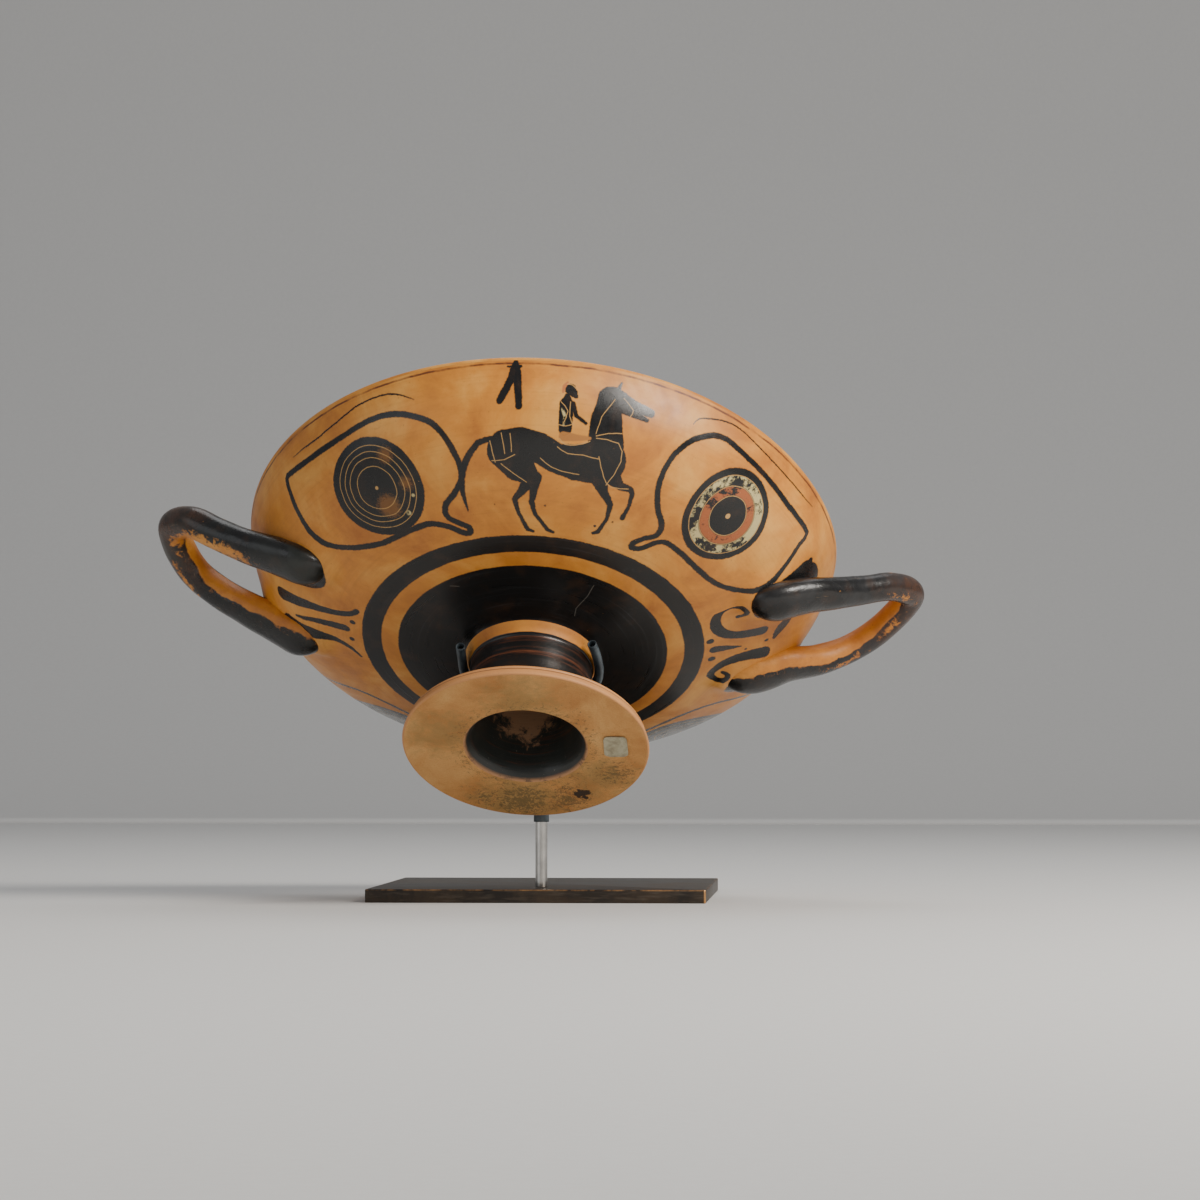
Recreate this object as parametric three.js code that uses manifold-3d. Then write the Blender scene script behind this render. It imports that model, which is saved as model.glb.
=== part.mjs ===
// Stemmed drinking cup (kylix) on its display stand: plate, post, cradle and
// soft sleeves. Millimetres, +Z up. The origin is the centre of the plate's
// underside, -Y is the side that the foot of the leaning cup turns towards.
import * as THREE from "three";
import { mergeVertices } from "three/addons/utils/BufferGeometryUtils.js";
import Module from "manifold-3d";

const wasm = await Module();
wasm.setup();

// ---------------------------------------------------------------- dimensions

const GAP = 0.35; // clearance kept between pieces that touch

// The cup, in its own frame: axis on Z, underside of the foot at z = 0.
const CUP = {
  segments: 60, // facets round the turned body
  footRadius: 54.0,
  footEdge: 5.6, // height of the foot's plain edge
  footRound: 1.6, // rounding of its lower arris
  footTaper: 1.2, // the edge leans in by this much at its top
  hollowRadius: 26.9, // hollow under the foot, at its mouth
  hollowTopRadius: 18.5,
  hollowTop: 45.0,
  stemRadius: 26.8,
  stemFlare: 21.0, // height where the foot's top has run into the stem
  filletLow: 41.7, // plain band at the top of the stem
  filletHigh: 46.9,
  filletRadius: 29.5,
  discRadius: 59.8, // nearly flat underside of the bowl
  discHeight: 53.5,
  bandRadius: 76.0, // where the bowl starts to turn up
  bandHeight: 57.2,
  bandSlope: 17.3, // degrees above level
  bandPull: 35.1, // length of the curve's first tangent
  rimRadius: 131.3,
  rimHeight: 111.0,
  rimSlope: 84.0,
  rimPull: 30.1,
  floorHeight: 55.0, // inside, at the axis
  floorWall: 5.0, // wall thickness where the bowl turns up
  rimWall: 3.6,
  wallSteps: 10, // facets up the bowl's wall
};

// The pull that the right handle gave the soft rim: outwards at the lip.
const RIM_PULL = { azimuth: 5, spread: 24, reach: 3.5, grow: 1.5 };

// Handles: horizontal loops that rise outwards. Each arm lists its half-width
// from the loop's middle line at the five reaches from the cup's axis, after
// the place where its root ends in the wall.
const HANDLE = {
  rootThickness: 15.4, // square to the wall
  rootWidth: 20.5, // along the wall
  swellFrom: 0.7, // share of each half over which the arm swells to its root
  roundedPart: 0.17, // share of each half that rounds off into the wall
  bluntEnd: 0.42, // the end's thickness, as a share of the root's
  sides: 12,
  steps: 34,
  rootSink: 0.6, // the root's end lies this far inside the wall's outer face
  hug: [3.0, 1.6, 0.3, 0, 0], // the arms lie this much closer to the wall near it
};
const HANDLES = [
  {
    azimuth: 8.0, rise: 0.54, baseHeight: 66.8, thickness: 13.0,
    tipReach: 168.3, tipSpread: 4.5,
    reach: [103, 116, 130, 145, 158],
    front: { rootReach: 92, spread: [31.2, 32.4, 31.2, 27.0, 21.6, 16.6] },
    back: { rootReach: 87, spread: [23.4, 21.4, 20.4, 23.4, 22.6, 14.6] },
  },
  {
    azimuth: 187, rise: 0.6, baseHeight: 68.0, thickness: 14.4,
    tipReach: 164.6, tipSpread: 5.0,
    reach: [103, 116, 130, 144, 156],
    front: { rootReach: 92, spread: [29.4, 29.4, 26.8, 22.8, 19.8, 17.2] },
    back: { rootReach: 94.5, spread: [28.6, 24.8, 23.6, 23.2, 22.6, 17.4] },
  },
];
const HANDLE_DATUM = 110; // reach at which baseHeight is given

// How the cup hangs in the stand.
const LEAN = 35; // degrees that the cup's axis leans back, towards +Y
const SIDE_LEAN = 0.5; // and the little that it leans to the right
const FOOT_CENTRE = new THREE.Vector3(-1.2, -110.2, 69.4);

const PLATE = { width: 152, depth: 152, thickness: 6, bevel: 0.5 };
const POST = { radius: 2.75, x: 1.5, y: -58.2, top: 82.6, sides: 24 };
const POST_SLEEVE = { bottom: 35.6, top: 56.0, wall: 0.45, sides: 24 };
const CRADLE = {
  wireRadius: 1.2,
  loopRadius: 30.1, // centreline round the stem
  level: 42.1, // height on the cup's axis
  leftProng: 14.0, // straight run past the widest point
  rightProng: 16.4,
  rightCurl: 2.2, // how far the right tip turns in
  ferruleTop: 87.0,
  sides: 8,
  steps: 34,
};
const CLAW = {
  innerRadius: CRADLE.wireRadius + GAP,
  outerRadius: 2.1,
  overhang: 2.4, // open tube past the end of the wire
  leftCover: 38, // length of each sleeve along the prong
  rightCover: 42,
  sides: 10,
  steps: 12,
};
const STICKER = { width: 10.8, depth: 15.4, corner: 2.4, thickness: 0.3, azimuth: -1.4, reach: 39.4 };

// ----------------------------------------------------------------- materials

function finish(color, roughness, metalness) {
  return new THREE.MeshStandardMaterial({ color, roughness, metalness });
}

const CLAY = finish(0xb8743a, 0.45, 0);
const DARK_BRASS = finish(0x3b3630, 0.45, 0.9);
const SATIN_STEEL = finish(0x8b8f90, 0.3, 1);
const GREY_RUBBER = finish(0x41494f, 0.6, 0);
const PAPER = finish(0xb9b3a2, 0.9, 0);

// ------------------------------------------------------------ solid and mesh

// A closed three.js geometry as a solid that can be joined and cut.
function solid(geometry) {
  const bare = geometry.clone();
  bare.deleteAttribute("normal");
  bare.deleteAttribute("uv");
  const merged = mergeVertices(bare, 1e-4);
  return new wasm.Manifold(new wasm.Mesh({
    numProp: 3,
    vertProperties: new Float32Array(merged.attributes.position.array),
    triVerts: new Uint32Array(merged.index.array),
  }));
}

// A solid back as a three.js geometry.
function geometryOf(body) {
  const mesh = body.getMesh();
  const geometry = new THREE.BufferGeometry();
  geometry.setAttribute("position", new THREE.BufferAttribute(mesh.vertProperties, 3));
  geometry.setIndex(new THREE.BufferAttribute(mesh.triVerts, 1));
  geometry.computeVertexNormals();
  return geometry;
}

function named(name, geometry, material) {
  const mesh = new THREE.Mesh(geometry, material);
  mesh.name = name;
  return mesh;
}

const radians = THREE.MathUtils.degToRad;

// -------------------------------------------------------------- the cup body

// Outer curve of the bowl's wall, from the band up to the rim, as (r, z).
function wallCurve() {
  const first = new THREE.Vector2(CUP.bandRadius, CUP.bandHeight);
  const last = new THREE.Vector2(CUP.rimRadius, CUP.rimHeight);
  const low = radians(CUP.bandSlope);
  const high = radians(CUP.rimSlope);
  return new THREE.CubicBezierCurve(
    first,
    new THREE.Vector2(Math.cos(low), Math.sin(low)).multiplyScalar(CUP.bandPull).add(first),
    new THREE.Vector2(-Math.cos(high), -Math.sin(high)).multiplyScalar(CUP.rimPull).add(last),
    last,
  );
}

// Height of the wall's outer face at a given radius.
function wallHeight(radius) {
  const curve = wallCurve();
  let low = 0;
  let high = 1;
  for (let i = 0; i < 40; i += 1) {
    const middle = (low + high) / 2;
    if (curve.getPoint(middle).x < radius) low = middle;
    else high = middle;
  }
  return curve.getPoint(low).y;
}

// The rim's pull moves a point of the wall outwards, most at the lip.
function pullRim(geometry) {
  const position = geometry.attributes.position;
  for (let i = 0; i < position.count; i += 1) {
    const x = position.getX(i);
    const y = position.getY(i);
    const climb = (position.getZ(i) - CUP.bandHeight) / (CUP.rimHeight - CUP.bandHeight);
    const radius = Math.hypot(x, y);
    if (climb <= 0 || radius < 1) continue;
    const turn = THREE.MathUtils.euclideanModulo(
      THREE.MathUtils.radToDeg(Math.atan2(y, x)) - RIM_PULL.azimuth + 180, 360) - 180;
    const amount = RIM_PULL.reach * Math.exp(-((turn / RIM_PULL.spread) ** 2));
    const scale = 1 + (amount * Math.min(climb, 1) ** RIM_PULL.grow) / radius;
    position.setXY(i, x * scale, y * scale);
  }
  return geometry;
}

// A turned body about Z from a profile of (r, z) points.
function turned(points) {
  const lathe = new THREE.LatheGeometry(points, CUP.segments);
  lathe.rotateX(Math.PI / 2);
  return lathe;
}

// Foot, stem and the full outer form of the bowl, closed flat at the rim.
function outerForm() {
  const points = [];
  const add = (r, z) => points.push(new THREE.Vector2(r, z));
  add(0, CUP.hollowTop);
  add(CUP.hollowTopRadius - 6, CUP.hollowTop - 1);
  add(CUP.hollowTopRadius, CUP.hollowTop - 5);
  add(CUP.hollowTopRadius + 2.0, 22);
  add(CUP.hollowRadius - 3.4, 6);
  add(CUP.hollowRadius - 0.8, 1.2);
  add(CUP.hollowRadius, 0);
  add(CUP.footRadius - CUP.footRound, 0);
  for (const turn of [-60, -30, 0]) {
    const angle = radians(turn);
    add(CUP.footRadius - CUP.footRound + CUP.footRound * Math.cos(angle),
      CUP.footRound + CUP.footRound * Math.sin(angle));
  }
  add(CUP.footRadius - CUP.footTaper, CUP.footEdge - 1.1);
  add(CUP.footRadius - CUP.footTaper - 1.0, CUP.footEdge);
  const flare = new THREE.QuadraticBezierCurve(
    new THREE.Vector2(CUP.footRadius - CUP.footTaper - 2.4, CUP.footEdge + 0.3),
    new THREE.Vector2(CUP.stemRadius + 4, CUP.footEdge + 4.4),
    new THREE.Vector2(CUP.stemRadius, CUP.stemFlare),
  );
  flare.getPoints(6).forEach((point) => points.push(point));
  add(CUP.stemRadius, CUP.filletLow);
  add(CUP.filletRadius - 1.6, CUP.filletLow + 2.6);
  add(CUP.filletRadius, CUP.filletHigh);
  add((CUP.filletRadius + CUP.discRadius) / 2, (CUP.filletHigh + CUP.discHeight) / 2 + 0.5);
  add(CUP.discRadius, CUP.discHeight);
  wallCurve().getPoints(CUP.wallSteps).forEach((point) => points.push(point));
  add(0, CUP.rimHeight);
  return pullRim(turned(points));
}

// The room inside the bowl, reaching past the rim so that it cuts clear.
function bowlRoom() {
  const curve = wallCurve();
  const steps = CUP.wallSteps;
  const points = [new THREE.Vector2(0, CUP.floorHeight)];
  points.push(new THREE.Vector2(26, CUP.floorHeight + 0.5));
  points.push(new THREE.Vector2(52, CUP.floorHeight + 3.0));
  for (let i = 0; i <= steps; i += 1) {
    const t = i / steps;
    const point = curve.getPoint(t);
    const tangent = curve.getTangent(t);
    const wall = THREE.MathUtils.lerp(CUP.floorWall, CUP.rimWall, t);
    points.push(new THREE.Vector2(point.x - tangent.y * wall, point.y + tangent.x * wall));
  }
  const last = points[points.length - 1];
  points.push(new THREE.Vector2(last.x, CUP.rimHeight + 6));
  points.push(new THREE.Vector2(0, CUP.rimHeight + 6));
  return pullRim(turned(points));
}

// Centreline points of one arm, from its root's end out to the loop's tip.
// side is +1 or -1 along the circumference.
function armPoints(handle, arm, side) {
  const [rootSpread, ...spreads] = arm.spread;
  const rootLevel = wallHeight(Math.hypot(arm.rootReach, rootSpread)) + HANDLE.rootSink;
  const points = [new THREE.Vector3(arm.rootReach, side * rootSpread, rootLevel)];
  handle.reach.forEach((reach, i) => {
    const level = handle.baseHeight + handle.rise * (reach - HANDLE_DATUM) + HANDLE.hug[i];
    points.push(new THREE.Vector3(reach, side * spreads[i], level));
  });
  return points;
}

// Centreline of one handle, root to root, with the handle's azimuth at +X.
function handleCurve(handle) {
  const frontSide = Math.cos(radians(handle.azimuth)) > 0 ? -1 : 1;
  const tipLevel = handle.baseHeight + handle.rise * (handle.tipReach - HANDLE_DATUM);
  return new THREE.CatmullRomCurve3([
    ...armPoints(handle, handle.front, frontSide),
    new THREE.Vector3(handle.tipReach, frontSide * handle.tipSpread, tipLevel),
    ...armPoints(handle, handle.back, -frontSide).reverse(),
  ], false, "centripetal");
}

// Half-width along the wall and half-thickness square to it, at a place from
// 0 to 1 along the handle.
function handleSection(handle, place) {
  const fromRoot = Math.min(place, 1 - place) * 2;
  const swell = 1 - THREE.MathUtils.smoothstep(fromRoot, 0.1, HANDLE.swellFrom);
  const short = 1 - Math.min(fromRoot / HANDLE.roundedPart, 1);
  const end = Math.max(Math.sqrt(1 - short * short), HANDLE.bluntEnd);
  const width = THREE.MathUtils.lerp(handle.thickness, HANDLE.rootWidth, swell);
  const thickness = THREE.MathUtils.lerp(handle.thickness, HANDLE.rootThickness, swell);
  return [(width / 2) * end, (thickness / 2) * end];
}

// A cylinder bent along the handle's centreline, swelling into its roots.
function handleForm(handle) {
  const curve = handleCurve(handle);
  const geometry = new THREE.CylinderGeometry(1, 1, 1, HANDLE.sides, HANDLE.steps);
  const position = geometry.attributes.position;
  const up = new THREE.Vector3(0, 0, 1);
  for (let i = 0; i < position.count; i += 1) {
    const place = THREE.MathUtils.clamp(position.getY(i) + 0.5, 0, 1);
    const centre = curve.getPointAt(place);
    const along = curve.getTangentAt(place);
    const across = new THREE.Vector3().crossVectors(up, along).normalize();
    const over = new THREE.Vector3().crossVectors(across, along);
    const [halfWidth, halfThickness] = handleSection(handle, place);
    centre.addScaledVector(across, position.getX(i) * halfWidth);
    centre.addScaledVector(over, position.getZ(i) * halfThickness);
    position.setXYZ(i, centre.x, centre.y, centre.z);
  }
  geometry.rotateZ(radians(handle.azimuth));
  return geometry;
}

function kylix() {
  let body = solid(outerForm());
  for (const handle of HANDLES) body = body.add(solid(handleForm(handle)));
  return geometryOf(body.subtract(solid(bowlRoom())));
}

// ----------------------------------------------------------------- the stand

function plate() {
  const shape = new THREE.Shape();
  const x = PLATE.width / 2 - PLATE.bevel;
  const y = PLATE.depth / 2 - PLATE.bevel;
  shape.moveTo(-x, -y).lineTo(x, -y).lineTo(x, y).lineTo(-x, y).closePath();
  const slab = new THREE.ExtrudeGeometry(shape, {
    depth: PLATE.thickness - 2 * PLATE.bevel,
    bevelThickness: PLATE.bevel,
    bevelSize: PLATE.bevel,
    bevelSegments: 1,
  });
  slab.translate(0, 0, PLATE.bevel);
  return slab;
}

// A tube about Z with a bore, from bottom to top.
function tube(inner, outer, bottom, top, sides) {
  const section = [[inner, bottom], [outer, bottom], [outer, top], [inner, top], [inner, bottom]];
  const lathe = new THREE.LatheGeometry(section.map(([r, z]) => new THREE.Vector2(r, z)), sides);
  lathe.rotateX(Math.PI / 2);
  return lathe;
}

function rod(radius, bottom, top, sides) {
  const cylinder = new THREE.CylinderGeometry(radius, radius, top - bottom, sides);
  cylinder.rotateX(Math.PI / 2);
  cylinder.translate(0, 0, (top + bottom) / 2);
  return cylinder;
}

// Centreline of the cradle in the cup's frame, each prong carried on past the
// wire's end by the sleeve's overhang: left prong, half circle behind the
// stem, right prong with its tip turned in.
function cradlePath() {
  const r = CRADLE.loopRadius;
  const at = (x, y) => new THREE.Vector3(x, y, CRADLE.level);
  const left = -CRADLE.leftProng - CLAW.overhang;
  const right = -CRADLE.rightProng - CLAW.overhang;
  const prong = (share) => at(r - CRADLE.rightCurl * share * share, right * share);
  return new THREE.CatmullRomCurve3([
    at(-r, left), at(-r, left * 0.5),
    ...arc(r, CRADLE.level, 180, 0, 12),
    prong(0.4), prong(0.7), prong(1),
  ], false, "centripetal");
}

// A stretch of another curve between two of its places. It runs straight on
// where a place is below 0 or above 1.
class Stretch extends THREE.Curve {
  constructor(whole, from, to) {
    super();
    Object.assign(this, { whole, from, to });
  }

  getPoint(t, target = new THREE.Vector3()) {
    const place = THREE.MathUtils.lerp(this.from, this.to, t);
    const held = THREE.MathUtils.clamp(place, 0, 1);
    target.copy(this.whole.getPointAt(held));
    const beyond = (place - held) * this.whole.getLength();
    return target.addScaledVector(this.whole.getTangentAt(held), beyond);
  }
}

// Points of an arc behind the stem, angles in degrees from +X towards +Y.
function arc(radius, level, from, to, steps) {
  const points = [];
  for (let i = 0; i <= steps; i += 1) {
    const angle = radians(THREE.MathUtils.lerp(from, to, i / steps));
    points.push(new THREE.Vector3(radius * Math.cos(angle), radius * Math.sin(angle), level));
  }
  return points;
}

// A rod with a round section along a curve.
function rodAlong(curve, radius, sides, steps) {
  const section = new THREE.Shape();
  for (let i = 0; i < sides; i += 1) {
    const angle = (2 * Math.PI * i) / sides;
    if (i === 0) section.moveTo(radius, 0);
    else section.lineTo(radius * Math.cos(angle), radius * Math.sin(angle));
  }
  section.closePath();
  return new THREE.ExtrudeGeometry(section, { steps, extrudePath: curve, bevelEnabled: false });
}

// Places a geometry of the cup's frame in the stand's frame.
function hang(geometry) {
  geometry.rotateY(radians(SIDE_LEAN));
  geometry.rotateX(-radians(LEAN));
  geometry.translate(FOOT_CENTRE.x, FOOT_CENTRE.y, FOOT_CENTRE.z);
  return geometry;
}

function cradle() {
  const path = cradlePath();
  const cut = CLAW.overhang / path.getLength();
  const bent = new Stretch(path, cut, 1 - cut);
  const wire = hang(rodAlong(bent, CRADLE.wireRadius, CRADLE.sides, CRADLE.steps));
  const ferrule = rod(POST.radius, POST.top + GAP, CRADLE.ferruleTop, POST.sides);
  ferrule.translate(POST.x, POST.y, 0);
  return geometryOf(solid(wire).add(solid(ferrule)));
}

// Soft open-ended sleeve over one prong: side -1 is the left, +1 the right.
function clawSleeve(side) {
  const path = cradlePath();
  const length = path.getLength();
  const cover = (side < 0 ? CLAW.leftCover : CLAW.rightCover) / length;
  const past = 1 / length;
  const from = side < 0 ? 0 : 1 - cover;
  const to = side < 0 ? cover : 1;
  const skin = rodAlong(new Stretch(path, from, to), CLAW.outerRadius, CLAW.sides, CLAW.steps);
  const bore = rodAlong(new Stretch(path, from - past, to + past), CLAW.innerRadius, CLAW.sides, CLAW.steps);
  return hang(geometryOf(solid(skin).subtract(solid(bore))));
}

// Blank paper sticker, flat on the foot's underside.
function sticker() {
  const x = STICKER.width / 2;
  const y = STICKER.depth / 2;
  const c = STICKER.corner;
  const shape = new THREE.Shape();
  shape.moveTo(-x + c, -y).lineTo(x - c, -y)
    .quadraticCurveTo(x, -y, x, -y + c).lineTo(x, y - c)
    .quadraticCurveTo(x, y, x - c, y).lineTo(-x + c, y)
    .quadraticCurveTo(-x, y, -x, y - c).lineTo(-x, -y + c)
    .quadraticCurveTo(-x, -y, -x + c, -y);
  const paper = new THREE.ExtrudeGeometry(shape, {
    depth: STICKER.thickness, bevelEnabled: false, curveSegments: 3,
  });
  const angle = radians(STICKER.azimuth);
  paper.translate(STICKER.reach * Math.cos(angle), STICKER.reach * Math.sin(angle),
    -GAP - STICKER.thickness);
  return hang(paper);
}

// ------------------------------------------------------------------ assembly

const post = rod(POST.radius, PLATE.thickness + GAP, POST.top, POST.sides);
post.translate(POST.x, POST.y, 0);
const postSleeve = tube(POST.radius + GAP, POST.radius + GAP + POST_SLEEVE.wall,
  POST_SLEEVE.bottom, POST_SLEEVE.top, POST_SLEEVE.sides);
postSleeve.translate(POST.x, POST.y, 0);

const group = new THREE.Group();
group.add(named("kylix", hang(kylix()), CLAY));
group.add(named("stand_plate", plate(), DARK_BRASS));
group.add(named("stand_post", post, SATIN_STEEL));
group.add(named("post_sleeve", postSleeve, GREY_RUBBER));
group.add(named("stand_cradle", cradle(), SATIN_STEEL));
group.add(named("claw_sleeve_left", clawSleeve(-1), GREY_RUBBER));
group.add(named("claw_sleeve_right", clawSleeve(1), GREY_RUBBER));
group.add(named("foot_sticker", sticker(), PAPER));

export default group;
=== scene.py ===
"""A painted eye cup that leans back in its wire stand, dressed for a studio view."""

import logging
import math
from collections.abc import Sequence
from dataclasses import dataclass, field
from enum import Enum

import bmesh
import bpy
import numpy as np
from mathutils import Matrix, Vector


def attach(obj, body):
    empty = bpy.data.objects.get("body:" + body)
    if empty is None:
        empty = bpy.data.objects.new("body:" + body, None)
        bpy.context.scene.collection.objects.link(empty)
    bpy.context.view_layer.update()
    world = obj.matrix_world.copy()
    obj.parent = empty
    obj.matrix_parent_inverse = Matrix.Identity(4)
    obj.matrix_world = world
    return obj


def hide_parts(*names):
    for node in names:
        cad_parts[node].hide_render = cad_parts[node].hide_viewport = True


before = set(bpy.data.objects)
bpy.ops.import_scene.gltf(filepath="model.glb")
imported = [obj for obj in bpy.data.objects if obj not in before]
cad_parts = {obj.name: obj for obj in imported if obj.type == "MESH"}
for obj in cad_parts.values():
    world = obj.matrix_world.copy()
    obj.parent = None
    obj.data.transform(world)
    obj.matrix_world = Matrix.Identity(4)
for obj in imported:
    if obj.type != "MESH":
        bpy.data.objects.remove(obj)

logging.basicConfig(level=logging.INFO, format="%(name)s: %(message)s")
log = logging.getLogger("eye_cup")

MM = 0.001
BODY = "root"
Point = tuple[float, float]
Triple = tuple[float, float, float]
Colour = tuple[float, float, float]
Finish = bpy.types.Material
Piece = bpy.types.Object

# Where the cup's own frame (axis on Z, underside of the foot at 0, in
# millimetres) lies in the stand's frame.
LEAN_BACK = 35.0
LEAN_SIDE = 0.5
FOOT_CENTRE = Vector((-1.2, -110.2, 69.4))
CUP_PLACE = (
    Matrix.Translation(FOOT_CENTRE * MM)
    @ Matrix.Rotation(math.radians(-LEAN_BACK), 4, "X")
    @ Matrix.Rotation(math.radians(LEAN_SIDE), 4, "Y")
    @ Matrix.Scale(MM, 4)
)
PLAN_TURN = 3.1  # degrees from the painter's middle line to the frame's -Y
PLAN_SPAN = 34.0  # centimetres across the plan of the outside
PLAN_MAP = "plan"
SWEEP_MAP = "sweep"


class Slot(Enum):
    """Names for the material slots, which the script doesn't use."""

    CLAY = "clay"
    BRASS = "dark_brass"
    STEEL = "satin_steel"
    RUBBER = "grey_rubber"
    PAPER = "paper"


# ---- shader boards


class Flow:
    """A number or a vector that comes out of a node, with arithmetic."""

    def __init__(self, board: "Board", socket: bpy.types.NodeSocket) -> None:
        """Keeps the socket.

        Args:
            board: The board that the socket's node is on.
            socket: The socket.
        """
        self.board = board
        self.socket = socket

    def _math(self, operation: str, *others: object, clamp: bool = False) -> "Flow":
        """Adds a Math node with this flow as its first value.

        Args:
            operation: The node's operation.
            others: Its other values.
            clamp: Whether the result is held between 0 and 1.

        Returns:
            The node's result.
        """
        settings = {"operation": operation, "use_clamp": clamp}
        return self.board.node("ShaderNodeMath", settings, dict(enumerate((self, *others))))

    def __add__(self, other: object) -> "Flow":
        """The sum."""
        return self._math("ADD", other)

    __radd__ = __add__

    def __sub__(self, other: object) -> "Flow":
        """This less the other."""
        return self._math("SUBTRACT", other)

    def __rsub__(self, other: object) -> "Flow":
        """The other less this."""
        return self.board.node("ShaderNodeMath", {"operation": "SUBTRACT"}, {0: other, 1: self})

    def __mul__(self, other: object) -> "Flow":
        """The product."""
        return self._math("MULTIPLY", other)

    __rmul__ = __mul__

    def __neg__(self) -> "Flow":
        """This with its sign turned."""
        return self._math("MULTIPLY", -1.0)

    def size(self) -> "Flow":
        """This without its sign."""
        return self._math("ABSOLUTE")

    def least(self, other: object) -> "Flow":
        """The smaller of the two."""
        return self._math("MINIMUM", other)

    def most(self, other: object) -> "Flow":
        """The larger of the two."""
        return self._math("MAXIMUM", other)

    def ramp(self, low: float, high: float) -> "Flow":
        """Climbs from 0 at low to 1 at high, or falls where high is the smaller.

        Args:
            low: Where it is 0.
            high: Where it is 1.

        Returns:
            A number from 0 to 1.
        """
        slope = 1.0 / (high - low)
        return self._math("MULTIPLY_ADD", slope, -low * slope, clamp=True)

    def inside(self, soft: float = 0.02) -> "Flow":
        """Turns a distance into cover: 1 where it is negative, 0 where it is not.

        Args:
            soft: Width of the soft edge.

        Returns:
            The cover.
        """
        return self._math("MULTIPLY_ADD", -1.0 / soft, 0.5, clamp=True)


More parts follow.
